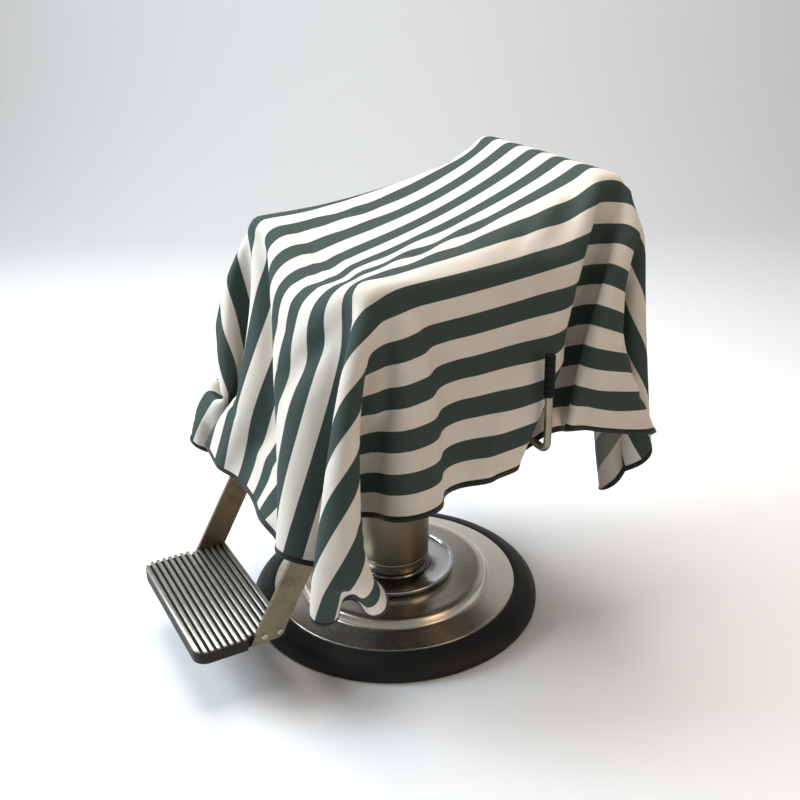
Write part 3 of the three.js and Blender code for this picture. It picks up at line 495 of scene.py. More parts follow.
class Cloth:
    """A sheet of cloth as points held at their flat distances, moved in small time steps."""

    STAND_OFF = 0.004  # the cloth's middle line above what it lies on
    GRAVITY = 9.8
    TOP_SPEED = 3.0
    HAND = 0.06  # how far round its spot a hand draws the cloth
    WATCH = 1.6  # layers nearer than this many gaps are watched
    FLAT_APART = 1.6  # two points are two layers if the flat cloth holds them this many times as far apart
    WATCH_EVERY = 6  # steps between two searches for near layers
    LAYER_PUSH = 0.25  # share of an overlap that each layer gives way in a step

    def __init__(self, flat, points, stiffness, blocks):
        self.flat = flat
        self.points = points.copy()
        self.speed = np.zeros_like(points)
        self.stiffness = stiffness
        self.blocks = blocks
        self.links = list(self._links())

    def finer(self, step, stiffness):
        """The same cloth on a finer grid."""
        flat = cape_cut(step)
        return Cloth(flat, resampled(self.points, flat.shape[:2]), stiffness, self.blocks)

    def _links(self):
        """Every pair of slices that a thread, a diagonal or the cloth's own stiffness holds apart."""
        columns, rows = self.flat.shape[:2]
        for offset in (0, 1):
            for count, axis in ((columns, 0), (rows, 1)):
                end = (count - offset) // 2 * 2 + offset
                even, odd = slice(offset, end, 2), slice(offset + 1, end, 2)
                if axis == 0:
                    yield self._link((even, slice(None)), (odd, slice(None)), 1.0)
                    yield self._link((even, slice(None, -1)), (odd, slice(1, None)), 0.9)
                    yield self._link((even, slice(1, None)), (odd, slice(None, -1)), 0.9)
                else:
                    yield self._link((slice(None), even), (slice(None), odd), 1.0)
        for gap, strength in self.stiffness:
            for half in (0, 1):
                for count, axis in ((columns, 0), (rows, 1)):
                    first = np.array([i for i in range(count - gap) if i // gap % 2 == half])
                    if axis == 0:
                        yield self._link((first, slice(None)), (first + gap, slice(None)), strength)
                    else:
                        yield self._link((slice(None), first), (slice(None), first + gap), strength)

    def _link(self, a, b, strength):
        return a, b, np.linalg.norm(self.flat[b] - self.flat[a], axis=-1), strength

    def hold_lengths(self):
        for a, b, length, strength in self.links:
            gap = self.points[b] - self.points[a]
            far = np.sqrt((gap * gap).sum(-1))
            move = (0.5 * strength * (far - length) / (far + 1e-12))[..., None] * gap
            self.points[a] += move
            self.points[b] -= move

    def near_pairs(self, reach):
        """Points that are far apart on the flat cloth and near each other now."""
        now, flat = self.points.reshape(-1, 3), self.flat.reshape(-1, 2)
        cell = np.floor(now / reach).astype(np.int64)
        cell -= cell.min(0) - 1
        size = cell.max(0) + 2
        key = (cell[:, 0] * size[1] + cell[:, 1]) * size[2] + cell[:, 2]
        order = np.argsort(key, kind="stable")
        ordered = key[order]
        around = (-1, 0, 1)
        neighbours = [(i, j, k) for i in around for j in around for k in around if (i, j, k) >= (0, 0, 0)]
        firsts, seconds = [], []
        for i, j, k in neighbours:
            wanted = key + (i * size[1] + j) * size[2] + k
            begin = np.searchsorted(ordered, wanted, "left")
            found = np.searchsorted(ordered, wanted, "right") - begin
            first = np.repeat(np.arange(len(now)), found)
            within = np.arange(len(first)) - np.repeat(np.cumsum(found) - found, found)
            second = order[np.repeat(begin, found) + within]
            keep = ((now[first] - now[second]) ** 2).sum(1) < reach ** 2
            keep &= ((flat[first] - flat[second]) ** 2).sum(1) > (self.FLAT_APART * reach) ** 2
            if (i, j, k) == (0, 0, 0):
                keep &= second > first
            firsts.append(first[keep])
            seconds.append(second[keep])
        return np.concatenate(firsts), np.concatenate(seconds)

    def keep_layers_apart(self, pairs, distance):
        first, second = pairs
        now = self.points.reshape(-1, 3)
        gap = now[first] - now[second]
        far = np.sqrt((gap * gap).sum(1))
        close = far < distance
        first, second, gap, far = first[close], second[close], gap[close], far[close]
        move = (self.LAYER_PUSH * (distance - far) / (far + 1e-9))[:, None] * gap
        total, count = np.zeros_like(now), np.zeros(len(now))
        np.add.at(total, first, move)
        np.add.at(total, second, -move)
        np.add.at(count, first, 1)
        np.add.at(count, second, 1)
        now += total / np.maximum(count, 1)[:, None]

    def rest_on_blocks(self, before, grip):
        """Moves points out of the rounded blocks, and holds back their sliding."""
        now, then = self.points.reshape(-1, 3), before.reshape(-1, 3)
        for low, high, rounding, leans in self.blocks:
            local = leaning(now) if leans else now
            offset = local - (low + high) / 2
            over = np.abs(offset) - ((high - low) / 2 - rounding)
            near = np.nonzero(over.max(1) < rounding + self.STAND_OFF)[0]
            if not len(near):
                continue
            offset, over = offset[near], over[near]
            out = np.maximum(over, 0)
            far = np.linalg.norm(out, axis=1)
            depth = np.where(over.max(1) > 0, far, over.max(1)) - rounding
            touching = depth < self.STAND_OFF
            near, offset, over, out, far, depth = (v[touching] for v in (near, offset, over, out, far, depth))
            outward = out * np.sign(offset) / (far[:, None] + 1e-12)
            sunk = np.nonzero(far <= 1e-9)[0]
            nearest = over[sunk].argmax(1)
            outward[sunk] = 0
            outward[sunk, nearest] = np.sign(offset[sunk, nearest])
            if leans:
                outward = upright(outward, turn_only=True)
            push = self.STAND_OFF - depth
            now[near] += outward * push[:, None]
            slide = now[near] - then[near]
            slide -= outward * (slide * outward).sum(1, keepdims=True)
            length = np.linalg.norm(slide, axis=1)
            now[near] -= slide * np.minimum(1.0, grip * push / (length + 1e-12))[:, None]

    def clear_the_lever(self):
        """The cloth hangs inside the hand lever through the lever's whole swing."""
        gap, half_swing, below, above = 0.010, 0.112, 0.05, 0.045
        low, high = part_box("lever_grip")
        inside = low.x - gap
        x, y, z = (self.points[..., i] for i in range(3))
        beside = (np.abs(y - LEVER[1]) < half_swing) & (z > LEVER[2] - below) & (z < high.z + above)
        x[beside & (x > inside)] = inside

    def hang_close(self, slack):
        """The cloth is smoothed down, so its skirts flare only a little more the lower they hang."""
        drop = np.clip(ARM_TOP - self.points[..., 2], 0, None)
        for axis, (low, low_flare, high, high_flare) in enumerate(SKIRT_LIMITS):
            at = self.points[..., axis]
            np.clip(at, low - low_flare * drop - slack, high + high_flare * drop + slack, out=at)

    def fall(self, steps, pace, drag, grip, layer_gap, rounds, arranging, smoothing=None):
        """Lets the cloth fall and settle, while hands lay its hem in place.

        Smoothing is the slack that the limit on the skirts starts with. It is gone at 0.7 of the steps.
        """
        least_weight, all_smoothed = 0.02, 0.7
        hands = []
        for spot, place in HEM_LAY:
            far = ((self.flat - np.array(spot)) ** 2).sum(-1)
            weight = np.exp(-far / (2 * self.HAND ** 2))
            weight[weight < least_weight] = 0
            hands.append((np.unravel_index(far.argmin(), far.shape), weight[..., None], np.array(place)))
        pairs = None
        for step in range(steps):
            before = self.points.copy()
            self.speed[..., 2] -= self.GRAVITY * pace
            self.speed *= 1 - drag
            self.points += self.speed * pace
            for held, weight, place in hands if arranging else ():
                self.points += arranging * weight * (place - self.points[held])
            for _ in range(rounds):
                self.hold_lengths()
            if step % self.WATCH_EVERY == 0:
                pairs = self.near_pairs(layer_gap * self.WATCH)
            self.keep_layers_apart(pairs, layer_gap)
            self.rest_on_blocks(before, grip)
            self.clear_the_lever()
            if smoothing is not None:
                self.hang_close(smoothing * max(0, 1 - step / (all_smoothed * steps)))
            self.speed = (self.points - before) / pace
            quick = np.linalg.norm(self.speed, axis=-1, keepdims=True)
            self.speed *= np.minimum(1, self.TOP_SPEED / (quick + 1e-9))


# How far out the skirts may hang on x, then on y: the low side at the arms' height and what it gains for
# each metre further down, then the same for the high side.
SKIRT_LIMITS = ((-0.300, 0.10, 0.300, 0.185), (-0.205, 0.285, 0.448, 0.03))

# Where the barber's hands lay the hem: a spot on the flat cape (across, down) and its place on the chair.
HEM_LAY = [
    ((-0.3, 0.0), (-0.24, -0.344, 0.352)),
    ((-0.15, 0.0), (-0.15, -0.345, 0.352)),
    ((0.12, 0.0), (0.12, -0.342, 0.345)),
    ((-0.45, 0.02), (-0.33, -0.338, 0.352)),
    ((-0.62, 0.0), (-0.345, -0.28, 0.33)),
    ((-0.73, 0.16), (-0.35, -0.19, 0.4)),
    ((0.25, 0.0), (0.235, -0.335, 0.322)),
    ((0.5, 0.0), (0.295, -0.308, 0.255)),
    ((0.6, 0.0), (0.316, -0.278, 0.23)),
    ((0.696, 0.029), (0.312, -0.235, 0.23)),
    ((0.73, 0.14), (0.32, -0.2, 0.29)),
    ((0.73, 0.74), (0.338, 0.035, 0.425)),
    ((0.73, 0.83), (0.328, 0.118, 0.447)),
    ((0.73, 0.91), (0.324, 0.165, 0.505)),
    ((0.73, 0.96), (0.326, 0.21, 0.52)),
    ((0.73, 1.1), (0.345, 0.29, 0.485)),
    ((0.73, 1.36), (0.368, 0.425, 0.476)),
    ((0.73, 1.5), (0.305, 0.42, 0.39)),
    ((0.695, 1.63), (0.26, 0.38, 0.29)),
]


def held_above(flat):
    """The cape held out over the arms and the backrest, just before it is let go."""
    arm_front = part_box("arm_pad_left")[0].y
    back_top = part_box("back_cushion")[1].z
    arm_half, side_slope = 0.30, 0.3
    line = np.array([
        (arm_front - 0.536, ARM_TOP - 0.062),
        (arm_front - 0.016, ARM_TOP + 0.008),
        (arm_front - 0.004, ARM_TOP + 0.014),
        (0.0, ARM_TOP + 0.028),
        (0.15, ARM_TOP + 0.050),
        (0.25, ARM_TOP + 0.073),
        (0.33, back_top - 0.016),
        (0.358, back_top + 0.008),
        (0.405, back_top + 0.009),
        (0.44, back_top - 0.009),
        (0.95, back_top - 0.124),
    ])
    along = np.concatenate([[0], np.cumsum(np.hypot(*np.diff(line, axis=0).T))])
    at_arms = along[2]
    at = flat[..., 1] - FRONT_DROP + at_arms
    y = np.interp(at, along, line[:, 0]) + np.minimum(at, 0) + np.maximum(at - along[-1], 0)
    z = np.interp(at, along, line[:, 1]) - side_slope * np.clip(np.abs(flat[..., 0]) - arm_half, 0, None)
    return np.stack([flat[..., 0], y, z], -1)


def resampled(points, shape):
    """A grid of points on a grid of another count."""
    for axis, count in enumerate(shape):
        at = np.linspace(0, points.shape[axis] - 1, count)
        low = np.minimum(at.astype(int), points.shape[axis] - 2)
        part = (at - low).reshape([-1 if i == axis else 1 for i in range(points.ndim)])
        points = points.take(low, axis) * (1 - part) + points.take(low + 1, axis) * part
    return points


def refined(points):
    """A grid of points on a smooth surface, twice as fine."""
    for axis in (0, 1):
        p = np.moveaxis(points, axis, 0)
        finer = np.empty((2 * len(p) - 1,) + p.shape[1:])
        finer[::2] = p
        finer[2:-1:2] = (p[:-2] + 6 * p[1:-1] + p[2:]) / 8
        finer[1::2] = (p[:-1] + p[1:]) / 2
        points = np.moveaxis(finer, 0, axis)
    return points


def draped_cape():
    """The flat cut and the draped points of the cape, on the same fine grid."""
    sides = ("left", "right")
    blocks = [
        *[block(f"arm_pad_{side}", 0.018, reach_down=0.21, spare=0.003) for side in sides],
        *[block(f"arm_panel_{side}", 0.010, spare=0.004) for side in sides],
        block("back_cushion", 0.024, leans=True, spare=0.001),
        block("back_board", 0.012, leans=True, spare=0.006),
        block("seat_cushion", 0.026),
        block("calf_pad", 0.020),
    ]
    flat = cape_cut(0.04)
    cloth = Cloth(flat, held_above(flat), ((2, 0.05),), blocks)
    cloth.fall(250, pace=1 / 400, drag=0.01, grip=0.3, layer_gap=0.02, rounds=1, arranging=0)
    cloth.fall(350, pace=1 / 400, drag=0.02, grip=0.3, layer_gap=0.02, rounds=1, arranging=0.03)
    cloth = cloth.finer(0.02, ((2, 0.03), (4, 0.02)))
    cloth.fall(500, 1 / 500, 0.02, grip=0.25, layer_gap=0.010, rounds=3, arranging=0.025, smoothing=0.16)
    cloth = cloth.finer(0.0135, ((2, 0.03), (5, 0.02)))
    cloth.fall(300, 1 / 600, 0.03, grip=0.5, layer_gap=0.008, rounds=3, arranging=0.02, smoothing=0.0)
    return refined(cloth.flat), refined(cloth.points)


def normals_of(points):
    """Upward directions of a grid of points, square to its surface."""
    across, down = np.gradient(points, axis=0), np.gradient(points, axis=1)
    normal = np.cross(across, down)
    return normal / (np.linalg.norm(normal, axis=-1, keepdims=True) + 1e-12)


def around_edge(columns, rows):
    """Grid places round the edge of the cape, once round."""
    front = [(i, 0) for i in range(columns - 1)]
    left = [(columns - 1, j) for j in range(rows - 1)]
    rear = [(i, rows - 1) for i in range(columns - 1, 0, -1)]
    right = [(0, j) for j in range(rows - 1, 0, -1)]
    return front + left + rear + right


def add_cut_map(piece, values):
    """Stores the place on the flat cloth, in metres, for each point of a piece."""
    layer = piece.data.uv_layers.new(name="cut")
    corner = np.zeros(len(piece.data.loops), np.int32)
    piece.data.loops.foreach_get("vertex_index", corner)
    layer.data.foreach_set("uv", np.asarray(values, np.float32)[corner].ravel())


def bend_with_back(piece):
    """Moves the piece's placement into its mesh points."""
    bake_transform(piece)


def cape_sheet(flat, points, normal):
    """The cloth itself: a thin closed sheet with its dyed face up and its paler face under."""
    columns, rows = flat.shape[:2]
    face = (points + normal * CLOTH_THICKNESS / 2).reshape(-1, 3)
    under = (points - normal * CLOTH_THICKNESS / 2).reshape(-1, 3)
    place = np.arange(columns * rows).reshape(columns, rows)
    quads = np.stack([place[:-1, :-1], place[1:, :-1], place[1:, 1:], place[:-1, 1:]], -1).reshape(-1, 4)
    edge = np.array([place[at] for at in around_edge(columns, rows)])
    after = np.roll(edge, -1)
    count = columns * rows
    rim = np.stack([after, edge, edge + count, after + count], -1)
    faces = np.concatenate([quads, quads[:, ::-1] + count, rim])
    both = np.concatenate([face, under])
    sheet = piece_from("cape_cloth_sheet", both, faces, CAPE_CLOTH)
    sheet.data.materials.append(CAPE_UNDERSIDE)
    sheet.data.polygons.foreach_set("material_index", [0] * len(quads) + [1] * len(quads) + [0] * len(rim))
    cut = flat.reshape(-1, 2) + (CAPE_WIDTH / 2, 0)
    add_cut_map(sheet, np.concatenate([cut, cut]))
    return sheet


def flat_oval(width, thickness, steps=5):
    """The section of a folded tape: two flat faces and two round edges, from its outer edge inward."""
    r = thickness / 2
    return arc((r, 0), r, 90, 270, steps) + arc((width - r, 0), r, -90, 90, steps)


def tape_along(name, drape, places, closed, width, thickness, overhang):
    """A tape folded over the edge of the cloth along some of its grid places."""
    flat, points, normal = drape
    last, end = flat.shape[0] - 2, flat.shape[1] - 2
    inner = [(min(max(i, 1), last), min(max(j, 1), end)) for i, j in places]
    route = np.array([points[at] for at in places])
    inward = np.array([points[at] for at in inner]) - route
    up = np.array([normal[at] for at in inner])
    along = directions(route, closed)
    inward -= along * (inward * along).sum(1, keepdims=True)
    inward /= np.linalg.norm(inward, axis=1, keepdims=True) + 1e-12
    for _ in range(3):
        near = (np.roll(inward, 1, 0), np.roll(inward, -1, 0)) if closed else (inward, inward)
        inward = inward * 0.5 + near[0] * 0.25 + near[1] * 0.25
        inward /= np.linalg.norm(inward, axis=1, keepdims=True)
    up -= inward * (up * inward).sum(1, keepdims=True)
    up /= np.linalg.norm(up, axis=1, keepdims=True)
    section = [(a - overhang, b) for a, b in flat_oval(width, thickness)]
    tape = sweep(name, route, inward, up, section, TAPE, closed)
    if np.dot(np.cross(inward[0], up[0]), along[0]) < 0:
        tape.data.flip_normals()
    gone = np.concatenate([[0], np.cumsum(np.linalg.norm(np.diff(route, axis=0), axis=1))])
    around = np.concatenate([[0], np.cumsum(np.hypot(*np.diff(np.array(section), axis=0).T))])
    add_cut_map(tape, [(g, a) for g in gone for a in around])
    return tape


def snap_stud(name, centre, out, radius, height):
    """A domed press stud with a rolled edge and a small socket."""
    middle = 0.0003
    rolled_edge = [(1, 0), (1, 0.35), (0.94, 0.6), (0.78, 0.62)]
    dome = [(0.6, 0.95), (0.35, 1), (0.22, 0.72)]
    outline = [(radius * a, height * b) for a, b in rolled_edge + dome]
    outline = [(middle, 0), *outline, (middle, height * 0.7)]
    stud = lathe(name, outline, FINISHES["fastener_steel"], None, 32, on_axis=True)
    turn = out.to_track_quat("Z", "Y").to_matrix().to_4x4()
    stud.data.transform(Matrix.Translation(centre) @ turn)
    return stud


def make_cape():
    flat, points = draped_cape()
    normal = normals_of(points)
    sheet = cape_sheet(flat, points, normal)
    cape_nodes = [node for node in frame["nodes"] if node.startswith("cape_")]
    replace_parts(sheet, *[node for node in cape_nodes if "binding" not in node and "neckband" not in node])

    drape = (flat, points, normal)
    columns, rows = flat.shape[:2]
    hem = around_edge(columns, rows)
    binding = tape_along("cape_hem_binding", drape, hem, True, BINDING_WIDTH, BINDING_THICKNESS, 0.0012)
    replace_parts(binding, "cape_binding_front", "cape_binding_left", "cape_binding_right")

    end_gap = 0.004
    neck = [(i, rows - 1) for i in range(columns) if abs(flat[i, -1, 0]) < NECK_HALF - end_gap]
    band = tape_along("cape_neck_band", drape, neck, False, BAND_WIDTH, BAND_THICKNESS, 0.0018)
    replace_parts(band, "cape_neckband")

    parts = [binding, band]
    for side, sign in (("left", 1), ("right", -1)):
        beside_neck, from_hem = 0.012, 0.022
        spot = np.array((sign * (NECK_HALF + beside_neck), CAPE_LENGTH - from_hem))
        at = np.unravel_index(((flat - spot) ** 2).sum(-1).argmin(), flat.shape[:2])
        stud = snap_stud(f"neck_press_stud_{side}", Vector(points[at]), Vector(normal[at]), 0.006, 0.0032)
        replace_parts(stud, f"neck_snap_{side}")
        parts.append(stud)
    for piece in (sheet, *parts):
        bend_with_back(piece)


# ---------------------------------------------------------------- upholstery
def crowned_block(low, high, rounding, crown, pull):
    """A stuffed block: round edges, a crowned top and sides that pull in between the corners."""
    count = 22
    centre, half = (low + high) / 2, (high - low) / 2
    line = np.sin(np.linspace(-math.pi / 2, math.pi / 2, count + 1))
    keys, points, faces = {}, [], []

    def point(a, b, c):
        key = (round(a, 6), round(b, 6), round(c, 6))
        if key not in keys:
            p = np.array((a, b, c)) * half
            core = np.clip(p, -(half - rounding), half - rounding)
            off = p - core
            far = np.linalg.norm(off)
            if far > 0:
                p = core + off / far * rounding
            bulge = (1 - a * a) * (1 - b * b)
            p[2] -= crown * (1 - bulge) * max(c, 0) + 0.4 * crown * (1 - bulge) * min(c, 0)
            p[0] -= pull * (1 - b * b) * a * (1 - 0.5 * c * c)
            p[1] -= pull * (1 - a * a) * b * (1 - 0.5 * c * c)
            keys[key] = len(points)
            points.append(centre + p)
        return keys[key]

    for axis in range(3):
        for side in (-1.0, 1.0):
            for i in range(count):
                for j in range(count):
                    quad = []
                    for u, v in ((i, j), (i + 1, j), (i + 1, j + 1), (i, j + 1)):
                        place = [0.0, 0.0, 0.0]
                        place[axis] = side
                        place[(axis + 1) % 3] = line[u]
                        place[(axis + 2) % 3] = line[v]
                        quad.append(point(*place))
                    faces.append(quad if side > 0 else quad[::-1])
    return np.array(points), faces


def piping(name, low, high, rounding, inset, height, radius, body, leans):
    """A sewn welt round a cushion."""
    spacing = 0.02
    x, y = high[0] - inset, high[1] - inset
    x0, y0 = low[0] + inset, low[1] + inset
    outline = rounded_outline([(x0, y0, rounding), (x, y0, rounding), (x, y, rounding), (x0, y, rounding)], 8)
    dense = []
    for i, (a, b) in enumerate(outline):
        c, d = outline[(i + 1) % len(outline)]
        pieces = max(1, int(math.hypot(c - a, d - b) / spacing))
        dense += [(a + (c - a) * k / pieces, b + (d - b) * k / pieces, height) for k in range(pieces)]
    route = np.array(dense)
    up = np.tile([0.0, 0.0, 1.0], (len(route), 1))
    if leans:
        route = upright(route)
        up = upright(up, turn_only=True)
    across = np.cross(directions(route, closed=True), up)
    section = arc((0, 0), radius, 0, 360, 8)[:-1]
    welt = sweep(name, route, across, up, section, VINYL, closed=True)
    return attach(welt, body)


def cushion(name, node, rounding, crown, pull, body, leans=False, welts=()):
    """A vinyl cushion inside the space its CAD solid holds, with its sewn welts."""
    points = np.array([v.co for v in frame["nodes"][node].data.vertices])
    if leans:
        points = leaning(points)
    low, high = points.min(0), points.max(0)
    welt_radius = 0.0032
    inset = 0.0035 + pull * 0.35
    shape, faces = crowned_block(low, high, rounding, crown, pull)
    if leans:
        shape = upright(shape)
    pad = piece_from(name, shape, faces, VINYL, body)
    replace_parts(pad, node)
    for n, height in enumerate(welts, 1):
        at = low[2] + (high[2] - low[2]) * height
        welt = piping(f"{name}_welt_{n}", low, high, rounding, inset, at, welt_radius, body, leans)
        welt.parent = pad


def make_upholstery():
    seat_welts, back_welts = (0.22, 0.76), (0.05, 0.94)
    cushion("seat_upholstery", "seat_cushion", 0.026, 0.014, 0.004, "seat", welts=seat_welts)
    cushion("back_upholstery", "back_cushion", 0.028, 0.007, 0.005, "backrest", leans=True, welts=back_welts)
    cushion("calf_upholstery", "calf_pad", 0.010, 0.003, 0.002, "seat")
    for side in ("left", "right"):
        cushion(f"arm_pad_{side}_upholstery", f"arm_pad_{side}", 0.0145, 0.009, 0.004, "seat")


# ---------------------------------------------------------------- base and column
def make_base():
    rim_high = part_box("base_rim")[1]
    plate_low, plate_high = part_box("base_plate")
    floor_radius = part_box("floor_plate")[1].x + 0.0003
    outer, top, inner = rim_high.x, rim_high.z, plate_high.x + 0.0003
    rim = rounded_outline([
        (floor_radius, 0, 0.0002),
        (outer - 0.003, 0, 0.002),
        (outer, 0.004, 0.003),
        (outer, top * 0.30, 0.008),
        (outer - 0.0025, top * 0.50, 0.010),
        (outer - 0.015, top * 0.80, 0.012),
        (outer - 0.036, top * 0.97, 0.010),
        (inner + 0.004, top, 0.003),
        (inner, top - 0.002, 0.001),
        (inner, plate_low.z, 0.0002),
        (floor_radius, plate_low.z, 0.0002),
    ], 8)
    piece = lathe("base_rubber_rim", rim, FINISHES["base_rubber"], "base", 256)
    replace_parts(piece, "base_rim")

    ledge, step = 0.059, 0.009
    edge = plate_high.x
    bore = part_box("pump_column")[1].x + 0.0003
    wall = 0.006
    top = plate_high.z
    low_ledge, high_ledge = top - 0.031, top - 0.023
    shell = rounded_outline([
        (edge, plate_low.z, 0.0002),
        (edge, low_ledge, 0.002),
        (edge - 0.005, low_ledge + 0.002, 0.003),
        (edge - ledge + 0.006, high_ledge, 0.004),
        (edge - ledge - 0.001, high_ledge + 0.002, 0.004),
        (edge - ledge - 0.0045, top - 0.012, 0.006),
        (edge - ledge - step, top - 0.003, 0.006),
        (edge - ledge - step - 0.012, top - 0.0008, 0.008),
        (edge - ledge - step - 0.030, top - 0.0012, 0.010),
        (bore, top, 0.0005),
        (bore, top - wall, 0.0005),
        (edge - ledge - step - 0.012, top - wall, 0.002),
        (edge - ledge - 0.010, high_ledge - wall, 0.002),
        (edge - wall, low_ledge - wall, 0.002),
        (edge - wall, plate_low.z, 0.0002),
    ], 7)
    piece = lathe("base_steel_plate", shell, FINISHES["base_steel"], "base", 256)
    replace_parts(piece, "base_plate")

    low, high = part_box("collar_flange")
    radius, foot, lip = high.x, low.z, high.z - 0.002
    dish = foot + 0.009  # the bottom of the hollow between the lip and the column
    collar = rounded_outline([
        (bore, foot, 0.0003),
        (radius - 0.010, foot, 0.004),
        (radius - 0.001, foot + 0.006, 0.006),
        (radius, lip - 0.001, 0.0025),
        (radius - 0.0045, lip + 0.0005, 0.0025),
        (radius - 0.0085, dish + 0.002, 0.004),
        (radius - 0.020, dish, 0.010),
        (bore + 0.024, dish + 0.0005, 0.008),
        (bore + 0.006, dish + 0.0035, 0.004),
        (bore + 0.0035, high.z - 0.0015, 0.0015),
        (bore + 0.001, high.z, 0.001),
        (bore, high.z, 0.0003),
    ], 7)
    piece = lathe("collar_dish", collar, FINISHES["collar_chrome"], "base", 192)
    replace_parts(piece, "collar_flange")

    low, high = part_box("lift_sleeve")
    inner, outer = high.x - 0.007, high.x
    sleeve = rounded_outline([
        (inner, low.z, 0.0004),
        (inner + 0.003, low.z, 0.001),
        (inner + 0.0034, low.z + 0.010, 0.002),
        (inner + 0.0026, low.z + 0.0125, 0.001),
        (inner + 0.0034, low.z + 0.015, 0.002),
        (outer, low.z + 0.147, 0.03),
        (outer, high.z, 0.001),
        (inner, high.z, 0.0004),
    ], 6)
    piece = lathe("lift_sleeve_tube", sleeve, FINISHES["column_steel"], "lift", 160)
    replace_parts(piece, "lift_sleeve")


# ---------------------------------------------------------------- footrest
def make_footrest_plate():
    """The cast plate: round-topped ribs across it, deep grooves between them and a soft front edge."""
    low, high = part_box("footrest_plate")
    arm_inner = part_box("footrest_arm_left")[0].x - 0.0003
    ribs, rib_width, groove, corner, nose = 14, 0.0076, 0.0068, 0.028, 0.007
    pitch = (high.y - low.y) / ribs
    rebate = high.y - 0.084  # from here back the plate is narrower, between the two bars
    step = 0.00001
    half_gap = (pitch - rib_width) / 2
    rounding = 0.0016
    line = [(low.y, high.z - nose)]
    line += [(y, z) for y, z in arc((low.y + nose, high.z - nose), nose, 180, 90, 6)[1:]]
    for i in range(1, ribs):
        middle = low.y + i * pitch
        left, right = middle - half_gap, middle + half_gap
        floor = high.z - groove
        line += arc((left - rounding, high.z - rounding), rounding, 90, 5, 4)
        line += arc((left + rounding, floor + rounding), rounding, 175, 270, 4)
        line += arc((right - rounding, floor + rounding), rounding, 270, 365, 4)
        line += arc((right + rounding, high.z - rounding), rounding, 175, 90, 4)
    line += [(high.y - rounding, high.z), *arc((high.y - rounding, high.z - rounding), rounding, 90, 0, 4)]
    stations = []
    for y, z in line:
        if stations and stations[-1][0] < rebate <= y:
            last = stations[-1]
            stations += [(rebate - step, last[1]), (rebate, last[1])]
        stations.append((y, z))

    def half_width(y):
        if y >= rebate:
            return arm_inner
        inside = max(0.0, corner - (y - low.y))
        return high.x - corner + math.sqrt(max(0.0, corner ** 2 - inside ** 2))

    soft = [(0.0, 0.0022), (0.0003, 0.0012), (0.0010, 0.0004), (0.0022, 0.0)]
    spans = [(-1, d, drop) for d, drop in soft] + [(0, 0, 0)] + [(1, d, drop) for d, drop in reversed(soft)]
    points, faces = [], []
    for y, z in stations:
        wide = half_width(y)
        for side, inset, drop in spans:
            points.append((side * (wide - inset), y, z - drop))
    across = len(spans)
    under = len(points)
    for y, _ in stations:
        wide = half_width(y)
        for side, inset, _ in spans:
            points.append((side * (wide - inset), y, low.z))
    for i in range(len(stations) - 1):
        for j in range(across - 1):
            a, b = i * across + j, (i + 1) * across + j
            faces.append((a, a + 1, b + 1, b))
            faces.append((under + a, under + b, under + b + 1, under + a + 1))
        for j, flip in ((0, False), (across - 1, True)):
            a, b = i * across + j, (i + 1) * across + j
            quad = (a, b, under + b, under + a)
            faces.append(quad[::-1] if flip else quad)
    last = (len(stations) - 1) * across
    for j in range(across - 1):
        faces.append((j, under + j, under + j + 1, j + 1))
        faces.append((last + j, last + j + 1, under + last + j + 1, under + last + j))
    finish = footrest_finish(high.z - groove, high.z)
    plate = piece_from("footrest_cast_plate", points, faces, finish, "seat")
    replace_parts(sharpen(plate, 50), "footrest_plate")


def footrest_finish(floor, top):
    """Cast aluminium, dark with dirt in the grooves and rubbed bright on the ribs."""
    finish = Finish("cast_aluminium_ribs", metallic=1.0, roughness=0.36)
    _, _, height = finish.parts(finish.place())
    rubbed = height.over(floor + 0.0010, top - 0.0006)
    brush = finish.noise(420, 3, 0.6, stretch=(0.05, 1, 1))
    patches = finish.noise(30, 5, 0.65)
    chips = finish.noise(120, 3, 0.6)
    bright = finish.mix(patches.over(0.4, 0.75) * 0.6, tint(196, 192, 184), tint(142, 134, 122))
    worn = rubbed * (1 - chips.over(0.66, 0.72) * 0.7)
    finish.set(base_color=finish.mix(worn, tint(44, 41, 37), bright))
    finish.set(roughness=(1 - rubbed) * 0.3 + patches * 0.2 + brush * 0.12 + 0.16)
    finish.set(metallic=rubbed * 0.35 + 0.65)
    finish.bump(brush * 0.7 + chips * 0.8, 0.0004, 0.5)
    return finish.material


def socket_screw(name, centre, out, radius, height, body):
    """A button-head screw with a hexagon socket."""
    steps = 48
    angles = np.linspace(0, 2 * math.pi, steps, endpoint=False)
    hexagon = math.cos(math.pi / 6) / np.cos((angles % (math.pi / 3)) - math.pi / 6)
    button = [(1, 0), (1, 0.45), (0.93, 0.75), (0.75, 0.96), (0.58, 1)]
    rings = [(radius * a, height * b) for a, b in button]
    points = [(r * math.cos(a), r * math.sin(a), z) for r, z in rings for a in angles]
    socket = radius * 0.48
    for r, z in ((socket, height * 0.96), (socket * 0.97, height * 0.35)):
        points += [(r * h * math.cos(a), r * h * math.sin(a), z) for a, h in zip(angles, hexagon)]
    count = len(rings) + 2
    faces = ring_faces(count, steps)
    faces.append(tuple(reversed(range(steps))))
    faces.append(tuple(range((count - 1) * steps, count * steps)))
    screw = piece_from(name, points, faces, FINISHES["fastener_steel"], None)
    screw.data.transform(Matrix.Translation(centre) @ out.to_track_quat("Z", "Y").to_matrix().to_4x4())
    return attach(sharpen(screw), body)


